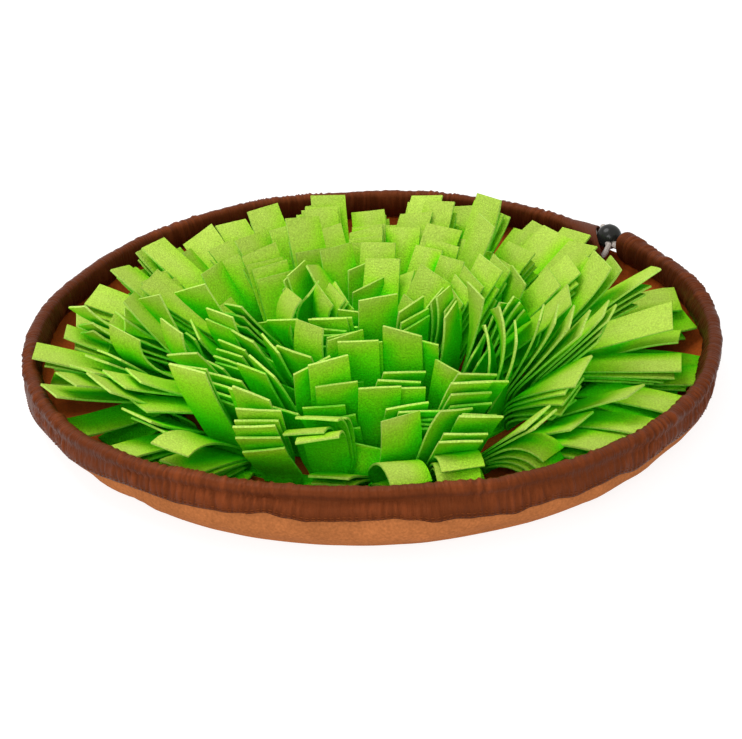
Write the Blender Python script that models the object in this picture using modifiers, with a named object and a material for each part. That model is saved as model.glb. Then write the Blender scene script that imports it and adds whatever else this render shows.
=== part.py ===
"""Snuffle mat, in metres, +Z up, with its origin at the middle of its underside.

A round tan cloth panel lies flat and turns up into a low wall. A ruched satin casing is folded over
the wall's edge. A drawcord runs through the casing and out of both its mouths into a ball cord lock.
Rounds of felt strips, in stacks of three, grow from narrow tapes sewn on the panel.
Azimuths are degrees anticlockwise from +X, seen from above. The mat is looked at from -Y.
"""

import math
import random

import bmesh
import bpy
from mathutils import Matrix, Vector
from mathutils.bvhtree import BVHTree

# --- Driving sizes ------------------------------------------------------------------------------
GAP = 0.0003  # left between pieces that touch
OVERALL_RADIUS = 0.2500  # at the widest part of the wall
FLOOR_RADIUS = 0.2218  # where the panel leaves the ground
PANEL_THICKNESS = 0.0020
PANEL_COLUMNS = 84

CHANNEL_RADIUS = 0.2395  # of the circle along which the drawcord runs
CHANNEL_HEIGHT = 0.0412
CASING_THICKNESS = 0.0012
CASING_COLUMNS = 96
LEFT_MOUTH = 40.5  # azimuths of the casing's two ends
RIGHT_MOUTH = 32.8
MOUTH_REACH = 10.0  # degrees over which a mouth opens out
RUCHE_DEPTH = 0.0011
RUCHE_PEAK = (0.55, 1.0)  # range of a raised column's share of the depth
RUCHE_VALLEY = (0.0, 0.25)
SEAM_WAVE = 0.0008
SEAM_WAVES = 27  # around the mat

CORD_RADIUS = 0.00225
CORD_STEP = 6.0  # degrees between the cord's points inside the casing
BALL_RADIUS = 0.0100
BALL_AZIMUTH = 37.0
BALL_HEIGHT = 0.0405
STRAND_OFFSET = 0.0026  # of each strand from the middle of the ball's slot
SLOT_SIDES = 14  # not a multiple of four, so that no corner lies on the slot's middle
SLOT_FRONT = Vector((0.05, -0.97, -0.24)).normalized()  # the way the slot looks
SLOT_PLAY = 0.0001  # more than the gap, since the slot has few sides
TAIL = 0.0040  # of cord that stands out behind the ball
STRAIGHT_FRONT = 0.0022  # of cord that leaves the ball straight
CORD_INSIDE = 2.0  # degrees from a mouth to the first point inside the casing
RIGHT_SLACK = (0.45, 0.0018)  # where the right strand sags on its way to its mouth, and how much
# The left strand's loop from the left mouth to the front of the ball, measured from its middle.
LEFT_LOOP = (
    # left, forward, down
    (0.0098, -0.0124, 0.0034),
    (0.0134, -0.0010, 0.0028),
    (0.0122, 0.0090, 0.0075),
    (0.0075, 0.0155, 0.0055),
)

FELT_THICKNESS = 0.0018
STRIP_WIDTH = 0.0270
LAYER_GAP = 0.0012  # between two layers at their tape
TAPE_MARGIN = 0.0010
TAPE_THICKNESS = 0.0015

# The panel's underside: distance from the middle and height.
PANEL_PROFILE = (
    (0.1500, 0.0),
    (FLOOR_RADIUS, 0.0),
    (0.2358, 0.0060),
    (0.2452, 0.0135),
    (OVERALL_RADIUS - 0.0013, 0.0205),
    (0.2480, 0.0275),
    (0.2450, 0.0345),
)
PANEL_NOTCH = 0.0095  # how far the panel's edge drops under the ball
NOTCH_REACH = 7.0  # degrees to each side of the ball

# The casing from its outer seam over the cord to its inner seam: how far each line lies outward of
# and above the cord, its share of the ruches, of the right mouth's opening, and of the flap.
CASING_SECTION = (
    # out, up, ruche, open, flap
    (0.0097, -0.0137, 0.0, 0.00, 0.00),
    (0.0070, -0.0070, 0.8, 0.40, 0.00),
    (0.0038, 0.0003, 1.0, 0.90, 0.00),
    (0.0016, 0.0035, 0.6, 1.00, 0.00),
    (-0.0016, 0.0035, 0.6, 1.00, 0.25),
    (-0.0038, 0.0003, 1.0, 0.90, 0.70),
    (-0.0026, -0.0090, 1.0, 0.70, 1.00),
    (0.0014, -0.0160, 0.7, 0.30, 0.80),
    (0.0050, -0.0208, 0.0, 0.00, 0.30),
)
RIGHT_OPENING = 0.0042  # how far the right mouth stands open
LEFT_PINCH = 0.7  # share of the ruches that the left mouth loses
FLAP_REACH = 2.2  # degrees by which the flap passes the left mouth
FLAP_LEAN = 0.0145  # how far the flap leans in, to pass in front of the ball

# How much the rim stands above or below its mean height, around the mat.
RIM_LIFT = (
    # azimuth, lift
    (0, 0.0015),
    (10, 0.0025),
    (25, 0.0000),
    (37, -0.0010),
    (48, -0.0032),
    (60, -0.0020),
    (75, -0.0003),
    (95, 0.0000),
    (115, 0.0023),
    (135, 0.0005),
    (155, -0.0017),
    (175, -0.0010),
    (215, 0.0000),
    (270, 0.0000),
    (320, 0.0005),
    (360, 0.0015),
)
BULGE_PER_LIFT = 0.4  # the wall bulges less where the rim stands higher
# The soft folds of the wall between floor and rim: how many go round, depth and phase in radians.
WALL_WAVES = ((7, 0.0008, 0.6), (13, 0.0009, 2.1), (19, 0.0006, 4.0))

# The felt. Each ring gives (strip length, lean from the upright) at the mat's sides, back and front.
# A strip reaches its lean after a share "bend" of its length, and its tip may droop further.
RINGS = (
    {"radius": 0.0160, "bundles": 4, "layers": 3, "spread": 6.0, "bend": 0.70, "droop": 60,
     "side": (0.064, 26), "back": (0.064, 28), "front": (0.064, 14)},
    {"radius": 0.0450, "bundles": 10, "layers": 3, "spread": 4.0, "bend": 0.55, "droop": 20,
     "side": (0.084, 30), "back": (0.076, 28), "front": (0.088, 8)},
    {"radius": 0.0780, "bundles": 17, "layers": 3, "spread": 4.0, "bend": 0.50, "droop": 10,
     "side": (0.096, 46), "back": (0.078, 34), "front": (0.080, 14)},
    {"radius": 0.1120, "bundles": 24, "layers": 3, "spread": 5.0, "bend": 0.40, "droop": 15,
     "side": (0.104, 63), "back": (0.078, 42), "front": (0.066, 22)},
    {"radius": 0.1460, "bundles": 31, "layers": 3, "spread": 7.0, "bend": 0.28, "droop": 60,
     "side": (0.098, 78), "back": (0.074, 50), "front": (0.062, 38)},
)
FELT_MIDDLE = Vector((0.0, -0.0100, 0.0))  # the rings lie a little toward the front
STRIP_STEPS = (0.0, 0.16, 0.50, 1.0)  # where along a strip its sections lie
ROOT_LEAN = 0.25  # share of the lean that a strip has where it leaves its tape
BUNDLE_SCATTER = {"heading": 6.0, "lean": 6.0, "twist": 14.0, "length": 0.007}
LAYER_SCATTER = {"heading": 2.5, "lean": 1.0, "twist": 5.0, "length": 0.004}
ROOT_SHARE = 0.6  # of a strip's width at its root, where its neighbours on the tape touch it
RING_TURN = 7.0  # degrees from one ring's first bundle to the next ring's
TRIES = 30
PATH_PIECES = 20  # steps in which a strip's path is walked
EASE = 2.0  # degrees of lean given up at each try that touches something
SHORTENING = 0.0008  # of length given up at each such try
CALMING = 1.8  # the scatter is gone after the tries' number divided by this
CORNER_SIGNS = ((-1, -1), (1, -1), (1, 1), (-1, 1))  # (across, face) around a strip's section

COLOURS = {
    "panel_cloth": ((0.420, 0.135, 0.045), 0.95),
    "casing_satin": ((0.150, 0.035, 0.012), 0.45),
    "cord": ((0.420, 0.380, 0.350), 0.80),
    "toggle": ((0.020, 0.020, 0.019), 0.25),
    "felt": ((0.300, 0.560, 0.045), 0.95),
}


# --- Small helpers ------------------------------------------------------------------------------
def around(azimuth, radius, height=0.0):
    """The point at an azimuth in degrees, a distance from the middle and a height."""
    angle = math.radians(azimuth)
    return Vector((radius * math.cos(angle), radius * math.sin(angle), height))


def azimuth_of(point):
    return math.degrees(math.atan2(point.y, point.x)) % 360.0


def smooth(share):
    """A soft step from 0 to 1."""
    share = min(max(share, 0.0), 1.0)
    return share * share * (3.0 - 2.0 * share)


def table_at(rows, azimuth):
    """The value of a table of (azimuth, value), eased between its rows."""
    azimuth %= 360.0
    for (start, low), (end, high) in zip(rows, rows[1:]):
        if azimuth <= end:
            return low + (high - low) * smooth((azimuth - start) / (end - start))
    return rows[-1][1]


def turn_between(azimuth, other):
    """Degrees from one azimuth to the other, from -180 to 180."""
    return (azimuth - other + 180.0) % 360.0 - 180.0


def uneven(point):
    """The point moved as the hand-gathered rim and wall are uneven, and unmoved on the floor."""
    azimuth = azimuth_of(point)
    height = point.z
    up = smooth(height / CHANNEL_HEIGHT)
    middle = math.sin(math.pi * min(height / CHANNEL_HEIGHT, 1.0))
    outward = 0.0
    for count, depth, phase in WALL_WAVES:
        outward += depth * middle * math.sin(count * math.radians(azimuth) + phase)
    outward -= BULGE_PER_LIFT * table_at(RIM_LIFT, azimuth) * middle
    radius = math.hypot(point.x, point.y) + outward
    return around(azimuth, radius, height + up * table_at(RIM_LIFT, azimuth))


def make_material(name):
    colour, roughness = COLOURS[name]
    material = bpy.data.materials.new(name)
    material.use_nodes = True
    shader = material.node_tree.nodes["Principled BSDF"]
    shader.inputs["Base Color"].default_value = (*colour, 1.0)
    shader.inputs["Roughness"].default_value = roughness
    return material


def add_object(name, mesh, collection, material):
    obj = bpy.data.objects.new(name, mesh)
    obj.data.materials.append(material)
    collection.objects.link(obj)
    return obj


def spun(profile, turn, steps, closed_loop):
    """A bmesh of the profile's (radius, height) rows spun about Z, each vertex marked with its row."""
    bm = bmesh.new()
    row = bm.verts.layers.int.new("row")
    verts = []
    for index, (radius, height) in enumerate(profile):
        vert = bm.verts.new((radius, 0.0, height))
        vert[row] = index
        verts.append(vert)
    pairs = list(zip(verts, verts[1:]))
    if closed_loop:
        pairs.append((verts[-1], verts[0]))
    edges = [bm.edges.new(pair) for pair in pairs]
    bmesh.ops.spin(
        bm, geom=verts + edges, cent=(0, 0, 0), axis=(0, 0, 1), dvec=(0, 0, 0),
        angle=math.radians(turn), steps=steps, use_merge=turn == 360.0, use_duplicate=False,
    )
    return bm, row


def solidify(obj, thickness, offset):
    shell = obj.modifiers.new("thickness", "SOLIDIFY")
    shell.thickness = thickness
    shell.offset = offset
    shell.use_even_offset = True


# --- Panel --------------------------------------------------------------------------------------
def build_panel(collection, material):
    """The floor and wall: the underside as an open surface, thickened inward."""
    bm, row = spun(PANEL_PROFILE, 360.0, PANEL_COLUMNS, closed_loop=False)
    middle_edges = [e for e in bm.edges if e.verts[0][row] == 0 and e.verts[1][row] == 0]
    bmesh.ops.contextual_create(bm, geom=middle_edges)
    for vert in bm.verts:
        from_ball = abs(turn_between(azimuth_of(vert.co), BALL_AZIMUTH))
        drop = PANEL_NOTCH * smooth(1.0 - from_ball / NOTCH_REACH)
        if vert[row] >= len(PANEL_PROFILE) - 2:
            vert.co.z -= drop * (vert.co.z / PANEL_PROFILE[-1][1]) ** 2
        vert.co = uneven(vert.co)
    bmesh.ops.recalc_face_normals(bm, faces=bm.faces)
    bm.normal_update()
    middle_face = max(bm.faces, key=lambda face: len(face.verts))
    if middle_face.normal.z < 0:
        bmesh.ops.reverse_faces(bm, faces=bm.faces)
    mesh = bpy.data.meshes.new("mat_panel")
    bm.to_mesh(mesh)
    bm.free()
    obj = add_object("mat_panel", mesh, collection, material)
    solidify(obj, PANEL_THICKNESS, 1.0)
    return obj


# --- Casing -------------------------------------------------------------------------------------
def section_normals():
    """For each line of the casing's section, the direction in (out, up) that leads away from the cord."""
    normals = []
    last = len(CASING_SECTION) - 1
    for index in range(len(CASING_SECTION)):
        before = CASING_SECTION[max(index - 1, 0)]
        after = CASING_SECTION[min(index + 1, last)]
        along = Vector((after[0] - before[0], after[1] - before[1])).normalized()
        normals.append(Vector((-along.y, along.x)))
    outer = CASING_SECTION[2]
    sign = 1.0 if normals[2].dot(Vector(outer[:2])) > 0 else -1.0
    return [normal * sign for normal in normals]


def build_casing(collection, material):
    """A satin band folded over the wall's edge and the cord, with ruches, open at both ends."""
    profile = [(CHANNEL_RADIUS + out, CHANNEL_HEIGHT + up) for out, up, _, _, _ in CASING_SECTION]
    turn = 360.0 - (LEFT_MOUTH - RIGHT_MOUTH)
    bm, row = spun(profile, turn, CASING_COLUMNS, closed_loop=False)
    bmesh.ops.rotate(
        bm, verts=bm.verts, cent=(0, 0, 0), matrix=Matrix.Rotation(math.radians(LEFT_MOUTH), 3, "Z")
    )
    normals = section_normals()
    chance = random.Random(11)
    ruches = []
    for column in range(CASING_COLUMNS + 1):
        ruches.append(RUCHE_DEPTH * chance.uniform(*(RUCHE_PEAK if column % 2 else RUCHE_VALLEY)))
    seam_phase = chance.uniform(0.0, math.tau)
    lines = len(CASING_SECTION)
    for vert in bm.verts:
        azimuth = azimuth_of(vert.co)
        line = vert[row]
        out, up, ruche, opening, flap = CASING_SECTION[line]
        from_left = (azimuth - LEFT_MOUTH) % 360.0
        from_left = 0.0 if from_left > 359.9 else from_left
        to_right = turn - from_left
        column = round(from_left / turn * CASING_COLUMNS)
        near_right = smooth(1.0 - to_right / MOUTH_REACH)
        near_left = smooth(1.0 - from_left / MOUTH_REACH)
        puff = ruches[column] * ruche + RIGHT_OPENING * near_right * opening
        puff *= 1.0 - LEFT_PINCH * near_left
        out += normals[line].x * puff
        up += normals[line].y * puff
        if line in (0, lines - 1):
            up += SEAM_WAVE * math.sin(math.radians(azimuth) * SEAM_WAVES + seam_phase)
        out -= FLAP_LEAN * near_left * flap
        azimuth -= FLAP_REACH * near_left * flap
        vert.co = uneven(around(azimuth, CHANNEL_RADIUS + out, CHANNEL_HEIGHT + up))
    mesh = bpy.data.meshes.new("rim_casing")
    bmesh.ops.recalc_face_normals(bm, faces=bm.faces)
    bm.to_mesh(mesh)
    bm.free()
    obj = add_object("rim_casing", mesh, collection, material)
    solidify(obj, CASING_THICKNESS, 0.0)
    return obj


# --- Drawcord and cord lock ---------------------------------------------------------------------
def ball_frame():
    """The ball's middle, the way its slot's front looks, and the way across the slot."""
    middle = uneven(around(BALL_AZIMUTH, CHANNEL_RADIUS, BALL_HEIGHT))
    across = SLOT_FRONT.cross(Vector((0, 0, -1))).normalized()
    return middle, SLOT_FRONT, across


def channel_point(azimuth):
    return uneven(around(azimuth, CHANNEL_RADIUS, CHANNEL_HEIGHT))


def cord_route():
    """The cord's hand-chosen points at the cord lock and its even points inside the casing."""
    middle, front, across = ball_frame()
    right = across * STRAND_OFFSET
    straight = [-front * (BALL_RADIUS + TAIL), front * 0.0, front * BALL_RADIUS * 0.9]
    straight.append(front * (BALL_RADIUS + STRAIGHT_FRONT))
    start = RIGHT_MOUTH - CORD_INSIDE
    end = LEFT_MOUTH + CORD_INSIDE - 360.0
    count = round((start - end) / CORD_STEP)
    route = [middle + right + point for point in straight]
    share, sag = RIGHT_SLACK
    route.append(route[-1].lerp(channel_point(start), share) + front * sag)
    for index in range(count + 1):
        route.append(channel_point(start + (end - start) * index / count))
    for left, forward, down in LEFT_LOOP:
        route.append(middle - across * left + front * forward - Vector((0, 0, down)))
    route += [middle - right + point for point in reversed(straight)]
    return route


def through(points, pieces):
    """Points on a smooth curve through the given ones, with a number of pieces to each stretch."""
    smoothed = []
    for index in range(len(points) - 1):
        before = points[max(index - 1, 0)]
        start = points[index]
        end = points[index + 1]
        after = points[min(index + 2, len(points) - 1)]
        for piece in range(pieces[index]):
            t = piece / pieces[index]
            smoothed.append(
                0.5 * (2 * start + (end - before) * t
                       + (2 * before - 5 * start + 4 * end - after) * t ** 2
                       + (3 * start - before - 3 * end + after) * t ** 3)
            )
    smoothed.append(points[-1])
    return smoothed


def build_cord(collection, material):
    """The drawcord, whole along its route through the lock and the casing."""
    route = cord_route()
    stretches = len(route) - 1
    last_bend = stretches - 3
    bends = {3, 4} | set(range(last_bend - len(LEFT_LOOP) - 1, last_bend))
    points = through(route, [3 if index in bends else 1 for index in range(stretches)])
    curve = bpy.data.curves.new("drawcord", "CURVE")
    curve.dimensions = "3D"
    curve.bevel_depth = CORD_RADIUS
    curve.bevel_resolution = 2
    curve.use_fill_caps = True
    spline = curve.splines.new("POLY")
    spline.points.add(len(points) - 1)
    for target, point in zip(spline.points, points):
        target.co = (*point, 1.0)
    return add_object("drawcord", curve, collection, material)


def build_toggle(collection, cutters, material):
    """The ball of the cord lock, with a slot through it for the two strands."""
    middle, front, across = ball_frame()
    bpy.ops.mesh.primitive_uv_sphere_add(segments=16, ring_count=10, radius=BALL_RADIUS)
    ball = bpy.context.object
    ball.name = "cord_toggle"
    ball.data.name = "cord_toggle"
    ball.data.materials.append(material)
    ball.data.shade_smooth()
    move_to(ball, collection)

    slot_radius = CORD_RADIUS + GAP + SLOT_PLAY
    bm = bmesh.new()
    bmesh.ops.create_cone(
        bm, cap_ends=True, segments=SLOT_SIDES, radius1=slot_radius, radius2=slot_radius,
        depth=BALL_RADIUS * 3.0,
    )
    for vert in bm.verts:
        vert.co.x += math.copysign(STRAND_OFFSET, vert.co.x)
    mesh = bpy.data.meshes.new("slot_cutter")
    bm.to_mesh(mesh)
    bm.free()
    cutter = bpy.data.objects.new("slot_cutter", mesh)
    cutters.objects.link(cutter)
    cutter.hide_render = True
    cutter.display_type = "WIRE"
    turn = Matrix((across, front.cross(across), front)).transposed().to_4x4()
    cutter.matrix_world = Matrix.Translation(middle) @ turn
    ball.matrix_world = Matrix.Translation(middle) @ turn
    cut = ball.modifiers.new("slot", "BOOLEAN")
    cut.object = cutter
    cut.operation = "DIFFERENCE"
    cut.solver = "EXACT"
    return ball


def move_to(obj, collection):
    for old in list(obj.users_collection):
        old.objects.unlink(obj)
    collection.objects.link(obj)


# --- Felt ---------------------------------------------------------------------------------------
def blend(ring, azimuth):
    """A ring's strip length and lean at an azimuth, from its side, back and front values."""
    sine = math.sin(math.radians(azimuth))
    share = {"side": 1.0 - sine * sine, "back": max(sine, 0.0) ** 2, "front": max(-sine, 0.0) ** 2}
    length = sum(share[part] * ring[part][0] for part in share)
    lean = sum(share[part] * ring[part][1] for part in share)
    return length, lean


def lean_at(share, strip):
    """The lean in radians at a share of a strip's length."""
    settled = ROOT_LEAN + (1.0 - ROOT_LEAN) * smooth(share / strip["bend"])
    return math.radians(strip["lean"] * settled + strip["droop"] * share ** 3)


def strip_sections(root, strip, shares):
    """(middle, across, face) of a strip's sections at these shares of its length."""
    heading_angle = math.radians(strip["heading"])
    outward = Vector((math.cos(heading_angle), math.sin(heading_angle), 0.0))
    sideways = Vector((-outward.y, outward.x, 0.0))
    up = Vector((0, 0, 1))
    sections = []
    point = root.copy()
    walked = 0.0
    for share in shares:
        while walked < share - 1e-9:
            step = min(1.0 / PATH_PIECES, share - walked)
            angle = lean_at(walked + step / 2, strip)
            along = outward * math.sin(angle) + up * math.cos(angle)
            point = point + along * step * strip["length"]
            walked += step
        angle = lean_at(share, strip)
        along = outward * math.sin(angle) + up * math.cos(angle)
        turn = Matrix.Rotation(math.radians(strip["twist"]) * share, 3, along)
        across = turn @ sideways
        sections.append((point, across, along.cross(across)))
    return sections


def corners(section, width, thickness):
    """The four corners of a strip's section, in order around it."""
    middle, across, face = section
    return [
        middle + across * (a * width / 2) + face * (b * thickness / 2) for a, b in CORNER_SIGNS
    ]


def sleeve(sections, clearance):
    """The vertices and faces of a strip as tested for touching others."""
    start, across, face = sections[0]
    lifted = (start + Vector((0, 0, 2 * GAP)), across, face)
    verts = corners(lifted, STRIP_WIDTH * ROOT_SHARE, FELT_THICKNESS * ROOT_SHARE)
    for section in sections[1:]:
        verts += corners(section, STRIP_WIDTH + 2 * clearance, FELT_THICKNESS + 2 * clearance)
    faces = [(3, 2, 1, 0)]
    for step in range(len(sections) - 1):
        base = 4 * step
        for side in range(4):
            following = (side + 1) % 4
            faces.append((base + side, base + following, base + 4 + following, base + 4 + side))
    top = 4 * (len(sections) - 1)
    faces.append((top, top + 1, top + 2, top + 3))
    return verts, faces


class Space:
    """What has been placed so far, so that a new strip can be kept clear of it."""

    def __init__(self, obstacles):
        depsgraph = bpy.context.evaluated_depsgraph_get()
        self.solid = [BVHTree.FromObject(obj, depsgraph) for obj in obstacles]
        self.placed = []

    @staticmethod
    def box(verts):
        low = Vector([min(v[i] for v in verts) for i in range(3)])
        high = Vector([max(v[i] for v in verts) for i in range(3)])
        return low, high

    def clear(self, sections):
        verts, faces = sleeve(sections, 2 * GAP)
        if min(v.z for v in verts) < PANEL_THICKNESS + GAP:
            return False
        low, high = self.box(verts)
        tree = BVHTree.FromPolygons(verts, faces)
        for other_low, other_high, other in self.placed:
            apart = any(low[i] > other_high[i] or other_low[i] > high[i] for i in range(3))
            if not apart and tree.overlap(other):
                return False
        return not any(tree.overlap(other) for other in self.solid)

    def add(self, sections):
        verts, faces = sleeve(sections, 0.0)
        self.placed.append((*self.box(verts), BVHTree.FromPolygons(verts, faces)))


def scatter_from(seed, sizes):
    """Chance values from -size to size, the same ones each time for a seed."""
    chance = random.Random(seed)
    return {name: chance.uniform(-size, size) for name, size in sizes.items()}


def draw_strip(ring, bundle, layer, root, azimuth, space):
    """Sections of one strip, drawn again with less lean and scatter until it touches nothing."""
    length, lean = blend(ring, azimuth)
    lean += ring["spread"] * (layer - (ring["layers"] - 1) / 2)
    droop = ring["droop"] * random.Random(bundle).random() ** 2
    shared = scatter_from(f"bundle {bundle}", BUNDLE_SCATTER)
    for attempt in range(TRIES):
        own = scatter_from(f"strip {bundle} {layer} {attempt}", LAYER_SCATTER)
        kept = max(1.0 - CALMING * attempt / TRIES, 0.0)
        strip = {
            "heading": azimuth + kept * (shared["heading"] + own["heading"]),
            "lean": lean + kept * (shared["lean"] + own["lean"]) - EASE * attempt,
            "twist": kept * (shared["twist"] + own["twist"]),
            "length": length + kept * (shared["length"] + own["length"]) - SHORTENING * attempt,
            "bend": ring["bend"],
            "droop": droop * kept,
        }
        sections = strip_sections(root, strip, STRIP_STEPS)
        if space.clear(sections):
            return sections
    print("bundle", bundle, "layer", layer, "was left at its last try")
    return sections


def tape_profile(ring):
    """The tape's section as a closed loop of (radius, height), its top cut into rows for the layers."""
    scale = 1.0 / math.cos(math.pi / ring["bundles"])
    low = PANEL_THICKNESS + GAP
    high = low + TAPE_THICKNESS
    radius = ring["radius"]
    rows = [radius]
    for layer in range(ring["layers"]):
        rows.append(rows[-1] + (TAPE_MARGIN if layer == 0 else LAYER_GAP))
        rows.append(rows[-1] + FELT_THICKNESS)
    rows.append(rows[-1] + TAPE_MARGIN)
    return [(row * scale, high) for row in rows] + [(rows[-1] * scale, low), (radius * scale, low)]


def grow_strip(bm, face, azimuth, sections):
    """Pull one face of a tape out along a strip's sections."""
    middle = face.calc_center_median()
    outward = around(azimuth, 1.0)
    sideways = around(azimuth + 90.0, 1.0)
    order = []
    for vert in face.verts:
        offset = vert.co - middle
        a = 1 if offset.dot(sideways) > 0 else -1
        b = 1 if offset.dot(outward) < 0 else -1
        order.append(CORNER_SIGNS.index((a, b)))
    for section in sections[1:]:
        face = bmesh.ops.extrude_discrete_faces(bm, faces=[face])["faces"][0]
        places = corners(section, STRIP_WIDTH, FELT_THICKNESS)
        for index, vert in enumerate(face.verts):
            vert.co = places[order[index]]


def build_ring(index, ring, space, collection, material):
    """A tape and its strips as one solid."""
    bm, row = spun(tape_profile(ring), 360.0, ring["bundles"], closed_loop=True)
    turn = index * (180.0 / ring["bundles"] + RING_TURN)
    bmesh.ops.rotate(
        bm, verts=bm.verts, cent=(0, 0, 0), matrix=Matrix.Rotation(math.radians(turn), 3, "Z")
    )
    bmesh.ops.translate(bm, verts=bm.verts, vec=FELT_MIDDLE)
    bmesh.ops.recalc_face_normals(bm, faces=bm.faces)
    roots = []
    for face in bm.faces:
        lines = sorted({vert[row] for vert in face.verts})
        on_top = lines[-1] < 2 * ring["layers"] + 2 and lines[1] == lines[0] + 1
        if on_top and lines[0] % 2 == 1:
            middle = face.calc_center_median()
            roots.append(((lines[0] - 1) // 2, azimuth_of(middle - FELT_MIDDLE), middle, face))
    roots.sort(key=lambda root: (-root[0], root[1]))
    for layer, azimuth, middle, face in roots:
        place = round((azimuth - turn) / 360.0 * ring["bundles"] - 0.5) % ring["bundles"]
        sections = draw_strip(ring, 100 * index + place, layer, middle, azimuth, space)
        space.add(sections)
        grow_strip(bm, face, azimuth, sections)
    name = f"felt_ring_{index + 1}"
    mesh = bpy.data.meshes.new(name)
    bm.to_mesh(mesh)
    bm.free()
    return add_object(name, mesh, collection, material)


def main():
    for obj in list(bpy.data.objects):
        bpy.data.objects.remove(obj)
    scene = bpy.context.scene
    collection = bpy.data.collections.new("snuffle_mat")
    cutters = bpy.data.collections.new("cutters")
    scene.collection.children.link(collection)
    scene.collection.children.link(cutters)
    looks = {name: make_material(name) for name in COLOURS}

    panel = build_panel(collection, looks["panel_cloth"])
    casing = build_casing(collection, looks["casing_satin"])
    cord = build_cord(collection, looks["cord"])
    toggle = build_toggle(collection, cutters, looks["toggle"])
    bpy.context.view_layer.update()
    space = Space([panel, casing, cord, toggle])
    for index in reversed(range(len(RINGS))):
        build_ring(index, RINGS[index], space, collection, looks["felt"])


main()
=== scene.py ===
# %% [markdown]
# # A round snuffle mat, made in Blender
# The real object is a dog's foraging mat about half a metre across. A tan cloth panel makes its floor
# and low wall, a gathered satin casing is folded over the wall's edge, a drawcord with a ball lock
# runs through the casing, and several hundred strips of green felt are sewn to the floor.
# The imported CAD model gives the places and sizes. This lesson puts a finer skin around it, and follows
# the photograph by a few millimetres more.

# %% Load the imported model
import math
import random

import bpy
import numpy as np
from mathutils import Matrix, Vector, noise
from mathutils.bvhtree import BVHTree


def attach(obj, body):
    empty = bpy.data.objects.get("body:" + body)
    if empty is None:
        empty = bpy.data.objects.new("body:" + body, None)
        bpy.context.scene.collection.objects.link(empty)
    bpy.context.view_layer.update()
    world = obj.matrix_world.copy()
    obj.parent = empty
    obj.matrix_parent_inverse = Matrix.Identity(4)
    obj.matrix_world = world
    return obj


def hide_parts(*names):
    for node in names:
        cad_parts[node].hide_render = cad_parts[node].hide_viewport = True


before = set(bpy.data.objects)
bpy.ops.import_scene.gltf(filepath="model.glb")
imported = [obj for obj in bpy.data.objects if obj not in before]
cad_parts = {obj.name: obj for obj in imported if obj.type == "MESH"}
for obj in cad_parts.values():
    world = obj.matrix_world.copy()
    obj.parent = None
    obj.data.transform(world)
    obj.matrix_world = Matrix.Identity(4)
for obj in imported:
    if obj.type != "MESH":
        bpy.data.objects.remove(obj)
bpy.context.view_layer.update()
print("CAD nodes:", ", ".join(sorted(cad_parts)))

# %% [markdown]
# ## Camera
# The photograph looks down at the mat by about 28 degrees, from the front. Its lens and distance were
# found by fitting a ring of the mat's size to the rim's outline. A camera can be placed with a Track To
# constraint, but a matrix is exact and leaves nothing live in the file.

# %% Camera
CAMERA_ELEVATION = 27.929  # degrees above the floor
CAMERA_DISTANCE = 1.3546  # metres from the point that it looks at
LOOK_AT = Vector((0.0, 0.0, 0.0034))
CAMERA_ROLL = -1.884  # degrees
LENS = 89.41  # millimetres, on a sensor 36 mm wide
SHIFT = -0.0025

camera_data = bpy.data.cameras.new("camera")
camera_data.lens = LENS
camera_data.sensor_width = 36.0
camera_data.shift_x = SHIFT
camera = bpy.data.objects.new("camera", camera_data)
bpy.context.scene.collection.objects.link(camera)
elevation = math.radians(CAMERA_ELEVATION)
away = Vector((0.0, -math.cos(elevation), math.sin(elevation)))
camera_place = LOOK_AT + away * CAMERA_DISTANCE
camera.matrix_world = (
    Matrix.Translation(camera_place)
    @ Matrix.Rotation(math.pi / 2 - elevation, 4, "X")
    @ Matrix.Rotation(math.radians(CAMERA_ROLL), 4, "Z")
)
bpy.context.scene.camera = camera
print("camera at", [round(value, 4) for value in camera_place])

# %% [markdown]
# ## Working with operators
# Blender's operators act on whatever is selected, and the loaded CAD nodes are still selected. These
# small helpers select one thing at a time, so that each later cell can say only what it changes.

# %% Helpers for objects
def deselect_all():
    """Leave edit mode and select nothing."""
    active = bpy.context.view_layer.objects.active
    if active and active.mode != "OBJECT":
        bpy.ops.object.mode_set(mode="OBJECT")
    bpy.ops.object.select_all(action="DESELECT")


def work_on(obj, mode="OBJECT"):
    """Select one object alone and open it in a mode."""
    deselect_all()
    obj.select_set(True)
    bpy.context.view_layer.objects.active = obj
    bpy.ops.object.mode_set(mode=mode)


def edit_all(obj):
    """Open an object in edit mode with all of it selected."""
    work_on(obj, "EDIT")
    bpy.ops.mesh.select_all(action="SELECT")


def edit_only(obj, kind, wanted):
    """Open an object in edit mode with only the wanted vertices or polygons selected."""
    work_on(obj, "EDIT")
    bpy.ops.mesh.select_all(action="DESELECT")
    bpy.ops.object.mode_set(mode="OBJECT")
    for part in getattr(obj.data, kind):
        part.select = wanted(part)
    bpy.ops.object.mode_set(mode="EDIT")


def named(name):
    """Name the object that an operator has just added, and its mesh."""
    obj = bpy.context.object
    obj.name = name
    obj.data.name = name
    return obj


def apply_modifier(obj, kind, **settings):
    """Add a modifier, set its values and apply it."""
    work_on(obj)
    modifier = obj.modifiers.new(kind.lower(), kind)
    for setting, value in settings.items():
        setattr(modifier, setting, value)
    bpy.ops.object.modifier_apply(modifier=modifier.name)


def points_of(obj):
    """The mesh's points, one row each."""
    flat = np.empty(3 * len(obj.data.vertices))
    obj.data.vertices.foreach_get("co", flat)
    return flat.reshape(-1, 3)


def move_points(obj, points):
    """Put the mesh's points at new places."""
    obj.data.vertices.foreach_set("co", np.asarray(points, dtype=float).ravel())
    obj.data.update()


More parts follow.
